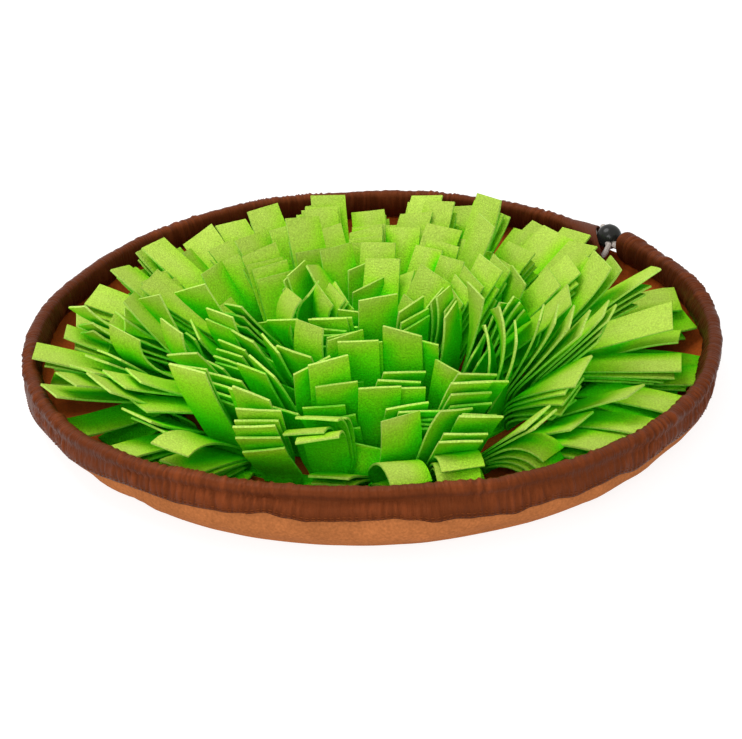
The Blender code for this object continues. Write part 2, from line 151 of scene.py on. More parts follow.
def place_in_mesh(obj):
    """Move an object's place, turn and scale into its mesh."""
    work_on(obj)
    bpy.ops.object.transform_apply(location=True, rotation=True, scale=True)


def face_outward(obj):
    """Merge what lies in one place, and point all faces outward."""
    edit_all(obj)
    bpy.ops.mesh.remove_doubles(threshold=MERGE_DISTANCE)
    bpy.ops.mesh.normals_make_consistent(inside=False)
    bpy.ops.object.mode_set(mode="OBJECT")


def report(obj):
    """Print how many triangles an object has."""
    obj.data.calc_loop_triangles()
    print(obj.name, "has", len(obj.data.loop_triangles), "triangles")


MERGE_DISTANCE = 0.00001  # metres


# %% [markdown]
# ## Drawing a section and spinning it
# The panel, the casing and the felt's tapes are all round, so each starts as a section. One point is
# extruded from place to place, as with the E key, and Spin carries the line around the mat.

# %% Sections and spins
def drawn_line(name, section):
    """A chain of edges through (radius, height) places, drawn by extruding one point."""
    places = [Vector((radius, 0.0, height)) for radius, height in section]
    deselect_all()
    bpy.ops.mesh.primitive_plane_add(size=0.001, location=places[0])
    line = named(name)
    bpy.ops.object.mode_set(mode="EDIT")
    bpy.ops.mesh.select_all(action="SELECT")
    bpy.ops.mesh.merge(type="CENTER")
    for start, end in zip(places, places[1:]):
        bpy.ops.mesh.extrude_vertices_move(TRANSFORM_OT_translate={"value": end - start})
    place_in_mesh(line)
    return line


def spin(line, turn, steps):
    """Carry the line around the Z axis by a turn in degrees."""
    edit_all(line)
    bpy.ops.mesh.spin(steps=steps, angle=math.radians(turn), center=(0, 0, 0), axis=(0, 0, 1))
    bpy.ops.object.mode_set(mode="OBJECT")


def turned_and_row(obj, section):
    """For each point of a spun mesh, the degrees that it was carried and its row in the section."""
    points = points_of(obj)
    radii = np.hypot(points[:, 0], points[:, 1])
    table = np.array(section)
    far = (radii[:, None] - table[:, 0]) ** 2 + (points[:, 2][:, None] - table[:, 1]) ** 2
    turned = np.degrees(np.arctan2(points[:, 1], points[:, 0]))
    return turned, far.argmin(axis=1)


def smooth(share):
    """A soft step from 0 to 1."""
    share = min(max(share, 0.0), 1.0)
    return share * share * (3.0 - 2.0 * share)


def through(rows, pieces):
    """Rows of numbers on a smooth curve through the given ones, pieces to each stretch."""
    rows = [np.array(row, dtype=float) for row in rows]
    curve = []
    for index in range(len(rows) - 1):
        before = rows[max(index - 1, 0)]
        start = rows[index]
        end = rows[index + 1]
        after = rows[min(index + 2, len(rows) - 1)]
        for piece in range(pieces):
            t = piece / pieces
            curve.append(
                0.5 * (2 * start + (end - before) * t
                       + (2 * before - 5 * start + 4 * end - after) * t ** 2
                       + (3 * start - before - 3 * end + after) * t ** 3)
            )
    curve.append(rows[-1])
    return curve


# %% [markdown]
# ## The rim is uneven
# A gathered rim doesn't stand at one height. The same table as in the CAD part says how much it lifts
# around the mat, and a few slow waves make the wall's soft folds. Three more tables, which the CAD part
# doesn't have, follow the photograph's rim and wall by a few millimetres more.

# %% The shape of the rim
RIM_LIFT = (
    # azimuth in degrees, lift in metres
    (0, 0.0015), (10, 0.0025), (25, 0.0), (37, -0.0010), (48, -0.0032), (60, -0.0020), (75, -0.0003),
    (95, 0.0), (115, 0.0023), (135, 0.0005), (155, -0.0017), (175, -0.0010), (215, 0.0), (270, 0.0),
    (320, 0.0005), (360, 0.0015),
)
FRONT_LIFT = (
    # what the rim stands higher or lower along the front and sides
    (0, -0.0015), (20, 0.0), (150, 0.0), (170, -0.0010), (185, -0.0015), (200, -0.0025),
    (215, -0.0023), (230, 0.0004), (245, 0.0026), (260, 0.0035), (275, 0.0034), (290, 0.0005),
    (305, -0.0005), (320, -0.0015), (335, -0.0030), (350, -0.0028), (360, -0.0015),
)
RIM_SPREAD = (
    # how far the rim is pushed outward, most at the sides
    (0, 0.0055), (12, 0.0040), (25, 0.0010), (34, 0.0), (120, 0.0), (150, 0.0025), (170, 0.0050),
    (185, 0.0055), (215, 0.0055), (230, 0.0042), (245, 0.0010), (260, -0.0005), (275, -0.0006),
    (290, 0.0016), (305, 0.0034), (320, 0.0050), (335, 0.0055), (360, 0.0055),
)
WALL_TUCK = (
    # how far the low wall is drawn in at the two front corners
    (0, 0.0), (196, 0.0), (206, 0.0020), (212, 0.0035), (218, 0.0045), (223, 0.0032), (228, 0.0018),
    (233, 0.0008), (240, 0.0), (304, 0.0), (312, 0.0018), (316, 0.0022), (321, 0.0036), (327, 0.0024),
    (333, 0.0030), (342, 0.0015), (350, 0.0), (360, 0.0),
)
TUCK_TOP = 0.032  # height at which the tuck ends
TUCK_FADE = 0.014
WALL_WAVES = ((7, 0.0008, 0.6), (13, 0.0009, 2.1), (19, 0.0006, 4.0))  # count, depth, phase
BULGE_PER_LIFT = 0.4
CHANNEL_RADIUS = 0.2395
CHANNEL_HEIGHT = 0.0412
OVERALL_RADIUS = 0.2500
PANEL_SPREAD = 0.3  # share of the rim's spread that the panel's edge takes
PANEL_TOP = 0.0345


def around(azimuth, radius, height=0.0):
    """The point at an azimuth in degrees, a radius and a height."""
    angle = math.radians(azimuth)
    return Vector((radius * math.cos(angle), radius * math.sin(angle), height))


def table_at(rows, azimuth):
    """The value of a table of (azimuth, value), eased between its rows."""
    azimuth %= 360.0
    for (start, low), (end, high) in zip(rows, rows[1:]):
        if azimuth <= end:
            return low + (high - low) * smooth((azimuth - start) / (end - start))
    return rows[-1][1]


def uneven(azimuth, radius, height, spread=1.0):
    """The point at an azimuth, a radius and a height, moved with the uneven rim and wall.

    The spread is the share of the rim's outward push that the point takes.
    """
    middle = math.sin(math.pi * min(max(height / CHANNEL_HEIGHT, 0.0), 1.0))
    outward = -BULGE_PER_LIFT * table_at(RIM_LIFT, azimuth) * middle
    outward += spread * table_at(RIM_SPREAD, azimuth)
    for count, depth, phase in WALL_WAVES:
        outward += depth * middle * math.sin(count * math.radians(azimuth) + phase)
    outward -= table_at(WALL_TUCK, azimuth) * smooth((TUCK_TOP - height) / TUCK_FADE)
    lift = table_at(RIM_LIFT, azimuth) + table_at(FRONT_LIFT, azimuth)
    return around(azimuth, radius + outward, height + smooth(height / CHANNEL_HEIGHT) * lift)


# %% [markdown]
# ## Shared shader effects
# Cloth is never one flat colour. Two node groups serve most of the materials: one mottles a colour with
# soft patches, the other makes the fine roughness of fibres as a bumped normal. A group is built once,
# and each material sets its own values on it. Each small helper adds one kind of node.

# %% Helpers for nodes
def add_node(tree, kind, inputs, **settings):
    """A node with its settings, whose inputs are linked to a socket or given a constant."""
    node = tree.nodes.new(kind)
    for setting, value in settings.items():
        setattr(node, setting, value)
    for socket, value in inputs.items():
        if isinstance(value, bpy.types.NodeSocket):
            tree.links.new(value, node.inputs[socket])
        else:
            node.inputs[socket].default_value = value
    return node


def maths(tree, operation, *values):
    """The result of a Math node."""
    return add_node(tree, "ShaderNodeMath", dict(enumerate(values)), operation=operation).outputs[0]


def scaled_colour(tree, colour, share):
    """A colour made lighter or darker."""
    node = add_node(tree, "ShaderNodeVectorMath", {0: colour, "Scale": share}, operation="SCALE")
    return node.outputs["Vector"]


def mixed_colour(tree, share, first, second):
    """A colour between two others."""
    inputs = {"Factor": share, "A": first, "B": second}
    return add_node(tree, "ShaderNodeMix", inputs, data_type="RGBA").outputs["Result"]


def ranged(tree, value, low, high, value_low=0.0, value_high=1.0):
    """A value carried from one range to another."""
    inputs = {"Value": value, "From Min": value_low, "From Max": value_high, "To Min": low, "To Max": high}
    return add_node(tree, "ShaderNodeMapRange", inputs).outputs["Result"]


def noise_height(tree, vector, scale, detail, roughness=0.5):
    """The height of a noise."""
    inputs = {"Vector": vector, "Scale": scale, "Detail": detail, "Roughness": roughness}
    return add_node(tree, "ShaderNodeTexNoise", inputs).outputs["Fac"]


def bumped(tree, height, strength, depth):
    """A normal bumped by a height."""
    inputs = {"Height": height, "Strength": strength, "Distance": depth}
    return add_node(tree, "ShaderNodeBump", inputs).outputs["Normal"]


def read_marks(tree, layer):
    """The red, green and blue of a colour attribute."""
    attribute = add_node(tree, "ShaderNodeVertexColor", {}, layer_name=layer)
    return add_node(tree, "ShaderNodeSeparateColor", {"Color": attribute.outputs["Color"]}).outputs


def stretched_uv(tree, stretch):
    """The UV map, stretched."""
    uv = add_node(tree, "ShaderNodeUVMap", {}, uv_map="UVMap")
    mapping = add_node(tree, "ShaderNodeMapping", {"Vector": uv.outputs["UV"], "Scale": stretch})
    return mapping.outputs["Vector"]


# %% Node groups
def new_group(name, inputs, output, kind):
    """A shader node group with named sockets, its inputs and the end of its one output."""
    group = bpy.data.node_groups.new(name, "ShaderNodeTree")
    for socket, socket_kind, value in inputs:
        made = group.interface.new_socket(socket, in_out="INPUT", socket_type=socket_kind)
        if value is not None:
            made.default_value = value
    group.interface.new_socket(output, in_out="OUTPUT", socket_type=kind)
    start = group.nodes.new("NodeGroupInput")
    end = group.nodes.new("NodeGroupOutput")
    return group, start.outputs, end.inputs[output]


def mottle_group():
    """Lighter and darker patches over a colour, coarse ones and the grain of the cloth."""
    group, given, result = new_group(
        "mottled_colour",
        (("Vector", "NodeSocketVector", None), ("Colour", "NodeSocketColor", (0.5, 0.5, 0.5, 1.0)),
         ("Patch Scale", "NodeSocketFloat", 40.0), ("Patches", "NodeSocketFloat", 0.3),
         ("Grain Scale", "NodeSocketFloat", 900.0), ("Grain", "NodeSocketFloat", 0.3)),
        "Colour", "NodeSocketColor",
    )
    strengths = []
    for scale, amount, detail in (("Patch Scale", "Patches", 2.0), ("Grain Scale", "Grain", 1.0)):
        patches = noise_height(group, given["Vector"], given[scale], detail)
        centred = maths(group, "SUBTRACT", patches, 0.5)
        strengths.append(maths(group, "MULTIPLY_ADD", centred, given[amount], 1.0))
    strength = maths(group, "MULTIPLY", *strengths)
    group.links.new(scaled_colour(group, given["Colour"], strength), result)
    return group


def fibre_group():
    """A normal roughened by fibres."""
    group, given, result = new_group(
        "fibre_bump",
        (("Vector", "NodeSocketVector", None), ("Scale", "NodeSocketFloat", 700.0),
         ("Strength", "NodeSocketFloat", 0.5), ("Depth", "NodeSocketFloat", 0.0004)),
        "Normal", "NodeSocketVector",
    )
    fibres = noise_height(group, given["Vector"], given["Scale"], 3.0, 0.65)
    group.links.new(bumped(group, fibres, given["Strength"], given["Depth"]), result)
    return group


MOTTLE = mottle_group()
FIBRE = fibre_group()
print("node groups:", MOTTLE.name, FIBRE.name)


# %% Helpers for materials
def new_material(name, **settings):
    """A material whose Principled shader takes these constant values."""
    material = bpy.data.materials.new(name)
    material.use_nodes = True
    shader = material.node_tree.nodes["Principled BSDF"]
    for socket, value in settings.items():
        shader.inputs[socket.replace("_", " ")].default_value = value
    return material


def place_group(material, group, **settings):
    """The result of a group in a material, on the object's coordinates and with its own values."""
    tree = material.node_tree
    inputs = {"Vector": tree.nodes.new("ShaderNodeTexCoord").outputs["Object"]}
    for socket, value in settings.items():
        inputs[socket.replace("_", " ")] = value
    return add_node(tree, "ShaderNodeGroup", inputs, node_tree=group).outputs[0]


def finish_material(material, colour, normal, *wearers):
    """Link the shader's colour and normal, and give the material to its objects."""
    shader = material.node_tree.nodes["Principled BSDF"]
    material.node_tree.links.new(colour, shader.inputs["Base Color"])
    material.node_tree.links.new(normal, shader.inputs["Normal"])
    for wearer in wearers:
        wearer.data.materials.append(material)
    print("material", material.name)

# %% [markdown]
# ## Light and floor
# The photograph is a product picture on white: a wide soft light from above and a little in front, and
# white all around. Two large area lights do the first, and an even white world does the second.

# %% Studio
scene = bpy.context.scene
scene.view_settings.view_transform = "Standard"
WORLD_STRENGTH = 0.70
FLOOR_GLOW = 0.84  # the white table is lit from below as well
LIGHTS = (
    # name, place, size, power in watts
    ("light_above", (-0.45, 0.20, 1.35), 1.0, 13.5),
    ("light_front", (-0.3, -1.7, 0.8), 1.2, 15.0),
)
world = bpy.data.worlds.new("studio")
world.use_nodes = True
background = world.node_tree.nodes["Background"]
background.inputs["Color"].default_value = (1.0, 1.0, 1.0, 1.0)
background.inputs["Strength"].default_value = WORLD_STRENGTH
scene.world = world
for light_name, place, size, power in LIGHTS:
    light_data = bpy.data.lights.new(light_name, "AREA")
    light_data.shape = "DISK"
    light_data.size = size
    light_data.energy = power
    light = bpy.data.objects.new(light_name, light_data)
    light.location = place
    light.rotation_euler = Vector(place).to_track_quat("Z", "Y").to_euler()
    scene.collection.objects.link(light)

FLOOR_SIZE = 8.0
deselect_all()
bpy.ops.mesh.primitive_plane_add(size=FLOOR_SIZE, location=(0, 0, -0.0002))
floor = named("studio_floor")
place_in_mesh(floor)
floor_white = new_material(
    "floor_white", Base_Color=(0.25, 0.25, 0.25, 1.0), Roughness=0.9,
    Emission_Color=(1.0, 1.0, 1.0, 1.0), Emission_Strength=FLOOR_GLOW,
)
floor.data.materials.append(floor_white)
print("floor", FLOOR_SIZE, "m wide")

# %% [markdown]
# ## The panel
# One round of tan short-nap cloth makes the mat's floor and turns up into its low wall. Its underside is
# drawn as a section from the middle outward and spun. The rows then follow the uneven rim, and Solidify
# gives the cloth its thickness on the inside. Where the casing gathers it, the cloth puckers.

# %% Panel cloth
FLOOR_RADIUS = 0.2218
PANEL_THICKNESS = 0.0020
PANEL_COLUMNS = 288
PANEL_PROFILE = (
    # radius and height of the underside
    (0.1500, 0.0), (FLOOR_RADIUS, 0.0), (0.2358, 0.0060), (0.2452, 0.0135), (0.2487, 0.0205),
    (0.2480, 0.0275), (0.2450, 0.0345), (0.2440, 0.0365),
)
PANEL_MIDDLE = ((0.0, 0.0), (0.05, 0.0), (0.10, 0.0))
BALL_AZIMUTH = 37.0
PANEL_NOTCH = 0.0095  # how far the edge drops under the ball
NOTCH_REACH = 7.0  # degrees to each side of the ball
NOTCH_FROM = 0.0150  # height above which the edge drops
BUMP_DEPTH = 0.0017
BUMP_FULL = 0.010  # height from which the bumps are at their deepest
BUMP_GAIN = 1.6  # brings the noise up to about 1
PUCKER_DEPTH = 0.0011
PUCKER_FROM = 0.006  # height at which the puckers start
PUCKER_FULL = 0.0275  # and at which they are deepest
PUCKER_PITCH = 0.032  # metres of rim to a pucker
PUCKER_DRIFT = 6.0  # radians by which chance moves them


def turn_between(azimuth, other):
    """Degrees from one azimuth to the other, from -180 to 180."""
    return (azimuth - other + 180.0) % 360.0 - 180.0


def noise_around(azimuth, fineness, layer):
    """Smooth chance that closes on itself around the mat, another pattern in each layer."""
    turn = math.radians(azimuth)
    return noise.noise(Vector((fineness * math.cos(turn), fineness * math.sin(turn), layer)))


def pucker(azimuth, height):
    """How far the wall is drawn in by its gathers, none at the floor and most under the casing."""
    reach = smooth((height - PUCKER_FROM) / (PUCKER_FULL - PUCKER_FROM))
    along_rim = math.radians(azimuth) * OVERALL_RADIUS / PUCKER_PITCH
    drift = PUCKER_DRIFT * noise_around(azimuth, 2.0, 7.0)
    wave = 0.5 - 0.5 * math.sin(math.tau * along_rim + drift)
    strength = 0.5 + 0.5 * noise_around(azimuth, 9.0, height * 20.0)
    return PUCKER_DEPTH * reach * strength * wave ** 2


def bumps(azimuth, height):
    """Soft bumps that the wall's slack cloth makes outward and inward."""
    chance_here = noise_around(azimuth, 11.0, height * 25.0)
    return BUMP_DEPTH * smooth(height / BUMP_FULL) * BUMP_GAIN * chance_here


wall = [(float(row[0]), max(float(row[1]), 0.0)) for row in through(PANEL_PROFILE, 4)]
panel_section = list(PANEL_MIDDLE) + wall
panel = drawn_line("panel_cloth", panel_section)
spin(panel, -360.0, PANEL_COLUMNS)
turned, rows = turned_and_row(panel, panel_section)
places = []
for azimuth, row in zip(turned, rows):
    radius, height = panel_section[row]
    if height >= NOTCH_FROM:
        near_ball = smooth(1.0 - abs(turn_between(azimuth, BALL_AZIMUTH)) / NOTCH_REACH)
        height -= PANEL_NOTCH * near_ball * (height - NOTCH_FROM) / (PANEL_TOP - NOTCH_FROM)
    outward = bumps(azimuth, height) - pucker(azimuth, height)
    spread = PANEL_SPREAD * (height / PANEL_TOP) ** 3
    places.append(uneven(azimuth, radius + outward, height, spread))
move_points(panel, places)
face_outward(panel)
underside = min(panel.data.polygons, key=lambda face: face.center.xy.length)
if underside.normal.z > 0:
    panel.data.flip_normals()
apply_modifier(panel, "SOLIDIFY", thickness=PANEL_THICKNESS, offset=-1.0, use_even_offset=True)
apply_modifier(panel, "BEVEL", width=0.0004, segments=2, limit_method="ANGLE")
# painted bounce light: faces turned toward the mat's middle are marked, to take a redder tan as if
# coloured by light reflected inside the bowl
panel_sides = panel.data.color_attributes.new("panel_sides", "FLOAT_COLOR", "POINT")
for mark, vert in zip(panel_sides.data, panel.data.vertices):
    toward_middle = Vector((-vert.co.x, -vert.co.y, FLOOR_RADIUS)).normalized()
    inner = smooth(0.5 + 2.0 * vert.normal.dot(toward_middle))
    mark.color = (inner, 0.0, 0.0, 1.0)
panel.data.shade_smooth()
report(panel)

# %% Panel material
NAP_TAN = (0.355, 0.119, 0.037, 1.0)
# painted bounce light: the inner faces take this redder tan, though the cloth is the same tan on both
# sides
INNER_BOUNCE_TAN = (0.40, 0.080, 0.012, 1.0)
tan_nap = new_material("panel_tan_nap", Roughness=0.95, Specular_IOR_Level=0.03)
inner_bounce_share = read_marks(tan_nap.node_tree, "panel_sides")["Red"]
finish_material(
    tan_nap,
    place_group(
        tan_nap, MOTTLE, Colour=mixed_colour(tan_nap.node_tree, inner_bounce_share, NAP_TAN, INNER_BOUNCE_TAN),
        Patch_Scale=42.0, Patches=0.45, Grain_Scale=560.0, Grain=0.75,
    ),
    place_group(tan_nap, FIBRE, Scale=1500.0, Strength=0.6, Depth=0.0004),
    panel,
)

# %% [markdown]
# ## The casing
# A satin band is cut flat and long, gathered on the cord and folded over the wall's edge. A grid is that
# flat band: its length runs around the mat and its width over the rim. Code lays each of its points on
# the section at its azimuth and adds the gathers. Spin would make the same surface, but a grid keeps a
# flat UV map, along which the fine ribs run.

# %% The casing's shape
CASING_THICKNESS = 0.0010
CASING_COLUMNS = 1400
LEFT_MOUTH = 40.5  # azimuths of the casing's two ends
RIGHT_MOUTH = 32.8
CASING_TURN = 360.0 - (LEFT_MOUTH - RIGHT_MOUTH)
MOUTH_REACH = 10.0  # degrees over which a mouth opens out
RIGHT_OPENING = 0.0042
LEFT_PINCH = 0.7
FLAP_REACH = 7.5
FLAP_LEAN = 0.0188
SEAM_WAVE = 0.0008
SEAM_WAVES = 27
SEAM_PHASE = 3.661
CASING_SECTION = (
    # out and up from the cord; shares of the gathers, the right mouth's opening, the flap, the spread
    (0.0097, -0.0137, 0.0, 0.00, 0.00, 0.15),
    (0.0087, -0.0104, 0.7, 0.15, 0.00, 0.30),
    (0.0070, -0.0068, 1.0, 0.40, 0.00, 0.50),
    (0.0049, -0.0044, 0.9, 0.60, 0.00, 0.75),
    (0.0040, -0.0024, 0.7, 0.75, 0.00, 1.00),
    (0.0046, 0.0000, 0.8, 0.90, 0.00, 1.00),
    (0.0040, 0.0020, 0.9, 0.95, 0.00, 1.00),
    (0.0014, 0.0033, 0.8, 1.00, 0.00, 1.00),
    (-0.0014, 0.0033, 0.8, 1.00, 0.32, 1.00),
    (-0.0031, 0.0018, 0.9, 0.95, 0.62, 1.00),
    (-0.0035, -0.0008, 0.8, 0.90, 0.85, 0.90),
    (-0.0027, -0.0085, 1.0, 0.70, 1.00, 0.35),
    (0.0012, -0.0158, 0.7, 0.30, 1.15, 0.05),
    (0.0050, -0.0208, 0.0, 0.00, 0.85, 0.00),
)
SECTION_PIECES = 2
SEAM_ROWS = 4.0  # of the section, over which the outer seam's lift fades
SEAM_LIFT = (
    # azimuth, lift of the outer seam
    (0, -0.0010), (25, 0.0000), (150, 0.0000), (180, -0.0035), (195, -0.0070), (208, -0.0062),
    (212, -0.0066), (215, -0.0054), (218, -0.0036), (221, -0.0033), (224, -0.0031), (227, -0.0012),
    (230, -0.0002), (233, -0.0008), (236, -0.0013), (239, -0.0009), (242, 0.0003), (245, 0.0001),
    (248, -0.0007), (251, 0.0010), (254, 0.0043), (257, 0.0020), (260, -0.0005), (263, -0.0003),
    (266, 0.0011), (269, 0.0025), (272, 0.0027), (275, 0.0003), (278, -0.0020), (281, -0.0004),
    (284, -0.0022), (287, -0.0040), (290, -0.0060), (293, -0.0021), (296.4, -0.0003), (300, -0.0036),
    (304, -0.0024), (308, -0.0005), (312, -0.0043), (317, -0.0032), (320, -0.0018), (323, -0.0034),
    (327, -0.0046), (331, -0.0056), (342, -0.0034), (350, -0.0015), (360, -0.0010),
)
EDGE_FROM = 0.85  # share of the way to the band's edges from which the seam waves
EDGE_REACH = 0.15
FLAP_POWER = 1.3
RUCHE_DEPTH = 0.0012  # of the broad folds
FOLD_PITCH = 0.0140  # metres along the rim, and over it, in which they change
FOLD_LENGTH = 0.030
FOLD_DEPTH = 0.0014  # of the narrow raised folds
RIDGE_PITCH = 0.0048
RIDGE_LENGTH = 0.060
RIDGE_NARROWING = 3.4
RIDGE_POWER = 1.5
RIDGE_SHARE = 0.72  # how much of the rim has raised folds, and how much that differs
RIDGE_PLAY = 1.7
PATCH_PITCH = 0.045
PATCH_LENGTH = 0.03
SCALLOP_DEPTH = 0.0007
SCALLOP_PITCH = 0.0036
SCALLOP_LENGTH = 0.012
FOLD_SLANT = 0.45  # the folds lean toward the front
SLANT_PLAY = 0.35
SLANT_PITCH = 0.05
WANDER = 0.004
WANDER_PITCH = 0.02

casing_rows = through(CASING_SECTION, SECTION_PIECES)
row_lengths = [0.0]
for before, after in zip(casing_rows, casing_rows[1:]):
    row_lengths.append(row_lengths[-1] + float(np.hypot(*(after[:2] - before[:2]))))
CASING_WIDTH = row_lengths[-1]


def row_normals(rows):
    """For each line of the section, the direction in (out, up) that leads away from the cord."""
    normals = []
    for index in range(len(rows)):
        before = rows[max(index - 1, 0)][:2]
        after = rows[min(index + 1, len(rows) - 1)][:2]
        along = (after - before) / np.linalg.norm(after - before)
        normals.append(np.array((along[1], -along[0])))
    return normals


casing_normals = row_normals(casing_rows)


def noise_over(along, over, layer):
    """Smooth chance on the flat band, another pattern in each layer."""
    return noise.noise(Vector((along, over, layer)))


def slanted_place(along, over):
    """The distance along the rim at which a leaning fold that passes here starts."""
    from_front = math.radians(270.0 - LEFT_MOUTH) - along / CHANNEL_RADIUS
    slanted = along + FOLD_SLANT * over * math.sin(from_front)
    slanted += SLANT_PLAY * over * noise_over(along / SLANT_PITCH, 0.0, 21.0)
    return slanted + WANDER * noise_over(along / WANDER_PITCH, over / WANDER_PITCH, 33.0)


def sharp_fold(along, over):
    """How much of a narrow raised fold is here, from 0 to 1."""
    line = noise_over(slanted_place(along, over) / RIDGE_PITCH, over / RIDGE_LENGTH, 9.0)
    ridge = max(0.0, 1.0 - RIDGE_NARROWING * abs(line)) ** RIDGE_POWER
    patch = noise_over(along / PATCH_PITCH, over / PATCH_LENGTH, 15.0)
    return ridge * smooth(RIDGE_SHARE + RIDGE_PLAY * patch)


def gathers(along, over):
    """Height of the gathers at a distance along the rim and a distance over the section."""
    broad = noise_over(slanted_place(along, over) / FOLD_PITCH, over / FOLD_LENGTH, 0.0)
    scallop = noise_over(along / SCALLOP_PITCH, over / SCALLOP_LENGTH, 45.0)
    return (RUCHE_DEPTH * (0.5 + 0.6 * broad) + FOLD_DEPTH * sharp_fold(along, over)
            + SCALLOP_DEPTH * scallop)


def casing_point(from_left, row, extra=0.0):
    """The casing's middle surface at degrees from the left mouth, on a row of its refined section.

    The row may lie between two rows. What is extra stands out from the surface.
    """
    low = min(int(row), len(casing_rows) - 2)
    share = row - low
    mixed = casing_rows[low] * (1 - share) + casing_rows[low + 1] * share
    out, up, ruche, opening, flap, spread = mixed
    normal = casing_normals[low] * (1 - share) + casing_normals[low + 1] * share
    over = row_lengths[low] * (1 - share) + row_lengths[low + 1] * share
    azimuth = LEFT_MOUTH + from_left
    near_right = smooth(1.0 - (CASING_TURN - from_left) / MOUTH_REACH)
    near_left = smooth(1.0 - from_left / MOUTH_REACH)
    puff = max(gathers(math.radians(from_left) * CHANNEL_RADIUS, over), 0.0) * ruche
    puff += RIGHT_OPENING * near_right * opening
    puff = puff * (1.0 - LEFT_PINCH * near_left) + extra
    out += normal[0] * puff
    up += normal[1] * puff
    edge = max(abs(row / (len(casing_rows) - 1) - 0.5) * 2.0 - EDGE_FROM, 0.0) / EDGE_REACH
    up += SEAM_WAVE * edge * math.sin(math.radians(azimuth) * SEAM_WAVES + SEAM_PHASE)
    near_seam = max(1.0 - row / (SEAM_ROWS * SECTION_PIECES), 0.0)
    up += near_seam * table_at(SEAM_LIFT, azimuth)
    out -= FLAP_LEAN * near_left * flap
    azimuth -= FLAP_REACH * near_left * min(max(flap, 0.0), 1.0) ** FLAP_POWER
    return uneven(azimuth, CHANNEL_RADIUS + out, CHANNEL_HEIGHT + up, spread)


# %% [markdown]
# The satin's tone is painted on its points, to follow the light in the photograph. It is darker inside
# the rim, under the rolled edge and, by the side shade, at the mat's left and right. A real band has no
# such tones, and they stay when the lamps or the camera move. A side shade of 0 leaves the last one out.

# %% Lay the band over the rim
def flat_band(name, columns, rows):
    """A unit grid that keeps its UV map: x along the band and y over it, from 0 to 1."""
    deselect_all()
    bpy.ops.mesh.primitive_grid_add(
        x_subdivisions=columns, y_subdivisions=rows, size=1.0, location=(0.5, 0.5, 0.0), calc_uvs=True,
    )
    band = named(name)
    place_in_mesh(band)
    return band


BAND_SHADE_AND_HIGHLIGHT = (
    # row of the refined section, painted tone: 1 is the satin's own colour, less is painted shade at the
    # outer seam, under the rolled edge and inside the rim, more is painted highlight on the face and the
    # crest
    (0, 0.55), (1.3, 0.68), (2.5, 0.98), (4, 1.08), (6, 0.98), (8.6, 0.82), (10, 0.72), (11.4, 0.98),
    (13, 1.08), (16, 0.98), (19, 0.76), (22, 0.50), (26, 0.36),
)
SIDE_SHADE = 0.22  # how much darker the satin is painted at the left and right of the mat
casing = flat_band("casing_satin", CASING_COLUMNS, len(casing_rows) - 1)
flat_places = points_of(casing)
move_points(casing, [
    casing_point(x * CASING_TURN, y * (len(casing_rows) - 1)) for x, y, _ in flat_places
])
# painted light on the band's points: red is a painted highlight on the raised folds, green the painted
# shade and highlight of the rows and the sides
fold_marks = casing.data.color_attributes.new("fold_marks", "FLOAT_COLOR", "POINT")
for mark, (x, y, _) in zip(fold_marks.data, flat_places):
    row = y * (len(casing_rows) - 1)
    over = row_lengths[min(int(row + 0.5), len(row_lengths) - 1)]
    raised = sharp_fold(math.radians(x * CASING_TURN) * CHANNEL_RADIUS, over)
    sideways = abs(math.cos(math.radians(LEFT_MOUTH + x * CASING_TURN)))
    shade = table_at(BAND_SHADE_AND_HIGHLIGHT, row) * (1.0 - SIDE_SHADE * sideways ** 2)
    mark.color = (raised, shade, 0.0, 1.0)
first = casing.data.polygons[0]
away_from_cord = Vector((first.center.x, first.center.y, 0.0))
if first.normal.dot(away_from_cord) < 0:
    casing.data.flip_normals()
apply_modifier(casing, "SOLIDIFY", thickness=CASING_THICKNESS, offset=0.0)
casing.data.shade_smooth()
report(casing)
print("casing band", round(CASING_WIDTH * 1000, 1), "mm over the rim")

# %% Casing material
SATIN_BROWN = (0.121, 0.0272, 0.0075, 1.0)
SATIN_GLEAM = (1.0, 0.45, 0.24, 1.0)
RIB_PITCH = 0.0017
RIM_LENGTH = math.radians(CASING_TURN) * CHANNEL_RADIUS
satin = new_material(
    "casing_satin_brown", Roughness=0.40, Specular_IOR_Level=0.10, Specular_Tint=SATIN_GLEAM,
)
tree = satin.node_tree
ribs = noise_height(tree, stretched_uv(tree, (RIM_LENGTH / RIB_PITCH, 3.5, 1.0)), 1.0, 2.5)
rib_tone = ranged(tree, ribs, 0.92, 1.08, 0.3, 0.7)
# the green channel carries the painted shade and highlight of the rows and the painted side shade
painted_band_light = read_marks(tree, "fold_marks")
# painted highlight: the raised folds are made up to 1.42 times lighter
ridge_highlight_tone = ranged(tree, painted_band_light["Red"], 0.93, 1.42)
ribs_and_ridge_highlight = maths(tree, "MULTIPLY", rib_tone, ridge_highlight_tone)
ribs_highlight_and_shade = maths(tree, "MULTIPLY", ribs_and_ridge_highlight, painted_band_light["Green"])
mottled = place_group(
    satin, MOTTLE, Colour=SATIN_BROWN, Patch_Scale=120.0, Patches=0.30, Grain_Scale=900.0, Grain=0.35,
)
finish_material(satin, scaled_colour(tree, mottled, ribs_highlight_and_shade), bumped(tree, ribs, 0.9, 0.0011), casing)

# %% [markdown]
# ## The stitches
# A double row of dark orange thread holds the casing's outer edge to the wall, and one row holds its
# inner edge. A stitch is a short bead of thread that dips into the cloth at both ends. It is modelled
# once, and each copy is laid on the same surface as the casing.

# %% One stitch, and its copies
STITCH_LENGTH = 0.0027
STITCH_RADIUS = 0.00032
STITCH_BAR = 0.55  # share of the length that is straight
STITCH_END = 0.225  # and that each end takes
STITCH_DIP = 1.1  # radii by which the ends go down
STITCH_PITCH = 0.0037
STITCH_PLAY = 0.06  # of the pitch
STITCH_ROWS = (0.55, 1.45, (len(casing_rows) - 1) - 0.7)  # rows of the casing's section
STITCH_LIFT = CASING_THICKNESS / 2 + 0.0001


